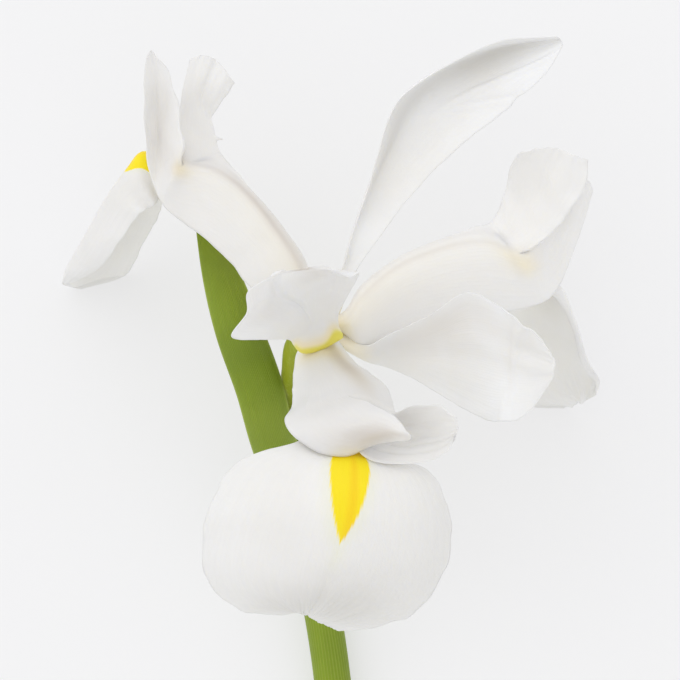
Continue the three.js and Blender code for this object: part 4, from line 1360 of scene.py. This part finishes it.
# %% Three stamens
STAMEN_RADII = [0.4, 0.4, 0.42, 0.82, 0.86, 0.45]
POLLEN_SEED = 4
STAMENS = {
    "stamen_front": (
        FRONT, 1.1, [(-2, -2.1, 3.3), (-0.2, -6, 7.6), (0.4, -9.4, 12.2), (0.8, -13.2, 17.2)],
    ),
    "stamen_left": (LEFT, 2.4, [(-10.4, 11.6, -4), (-15.8, 18, -4.4), (-21.6, 23.6, -5)]),
    "stamen_right": (RIGHT, 2.4, [(6.6, 5.6, -3.4), (13.4, 8.6, -4), (21.6, 10.6, -5)]),
}


def stamen(name, towards, rise, path):
    foot = seat(towards, (FALL_RING + ARM_RING) / 2, 0, rise)[1]
    full = [*foot, *[seen(p) for p in path]]
    shape = {"steps": 60, "sides": 16, "ribs": 4, "rib_height": 0.06}
    bare = stalk(name + "_bare", full, STAMEN_RADII, anther_cream, **shape)
    values = {"Body material": anther_cream, "Grain material": pollen_gold, "Seed": POLLEN_SEED}
    return grown(name + "_dusted", bare, pollen_tree, values)


stamens = {name: stamen(name, *drawing) for name, drawing in STAMENS.items()}
for name, piece in stamens.items():
    print(name, triangles(piece), "triangles")

# %% [markdown]
# ## Pieces that stand for the frame's nodes
# Each finer piece keeps the form of the plain solid of the same name and takes its place. The
# flower has no joints, so all of them ride on the one body.

# %% Ride and replace
finished_pieces = {**falls, **standards, **arms, **stamens, "ovary": ovary, "stem": stem, "spathe": leaf}
for name, piece in finished_pieces.items():
    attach(piece, "root")
    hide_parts(name)
all_triangles = sum(triangles(piece) for piece in finished_pieces.values())
print(len(finished_pieces), "pieces,", all_triangles, "triangles in all")

# %% [markdown]
# ## Table, light and camera
# A pale table and even, soft light keep white petals readable against a nearly white ground. One
# broad lamp from the upper left gives the faces their gentle shading; the bright surroundings fill
# the rest. The table glows faintly, as a lit backdrop does. The camera hangs straight above the
# flower's middle.

# %% Table
TABLE_HALF = 3.0
TABLE_GLOW = 0.49
TABLE_GREY = (0.40, 0.40, 0.41, 1)
TABLE_PALE = (0.43, 0.43, 0.44, 1)
table_finish, tree, shader = material("pale table")
place = node(tree, "ShaderNodeTexCoord").outputs["Object"]
cloud = node(tree, "ShaderNodeTexNoise", {"Vector": place, "Scale": 6.0, "Detail": 4.0})
table_colour = blend(tree, cloud.outputs["Fac"], TABLE_GREY, TABLE_PALE)
table_values = {
    "Roughness": 0.85, "Specular IOR Level": 0.1, "Emission Color": (1, 1, 1, 1),
    "Emission Strength": TABLE_GLOW,
}
surface(tree, shader, table_colour, [], table_values)
corners = [(x * TABLE_HALF, y * TABLE_HALF, 0) for x, y in ((-1, -1), (1, -1), (1, 1), (-1, 1))]
table_mesh = bpy.data.meshes.new("table")
table_mesh.from_pydata(corners, [], [(0, 1, 2, 3)])
table_mesh.materials.append(table_finish)
table = add_object("table", table_mesh)
print("table:", 2 * TABLE_HALF, "m wide")

# %% Light
SURROUNDINGS = 0.87
LAMP_DIRECTION = (0.58, -0.58, -0.92)
LAMP_POWER = 0.6
LAMP_SPREAD = 80
scene = bpy.context.scene
scene.world = bpy.data.worlds.new("soft surroundings")
scene.world.use_nodes = True
background = scene.world.node_tree.nodes["Background"]
background.inputs["Color"].default_value = (1.0, 1.0, 1.0, 1)
background.inputs["Strength"].default_value = SURROUNDINGS

lamp = bpy.data.lights.new("key from the upper left", "SUN")
lamp.energy = LAMP_POWER
lamp.angle = math.radians(LAMP_SPREAD)
held_lamp = add_object("key from the upper left", lamp)
held_lamp.rotation_euler = Vector(LAMP_DIRECTION).to_track_quat("-Z", "Y").to_euler()
print("lamp:", lamp.energy, "with a spread of", LAMP_SPREAD, "degrees")

# %% Camera
MM_PER_PIXEL = 0.17
PHOTO_WIDTH = 680
SENSOR_WIDTH = 36
camera = add_object("camera", bpy.data.cameras.new("camera"))
camera.location = on_table((0, 0, EYE_DISTANCE))
camera.data.sensor_width = SENSOR_WIDTH
camera.data.lens = SENSOR_WIDTH * EYE_DISTANCE / (PHOTO_WIDTH * MM_PER_PIXEL)
scene.camera = camera
scene.view_settings.view_transform = "Standard"
print("lens:", round(camera.data.lens, 1), "mm")
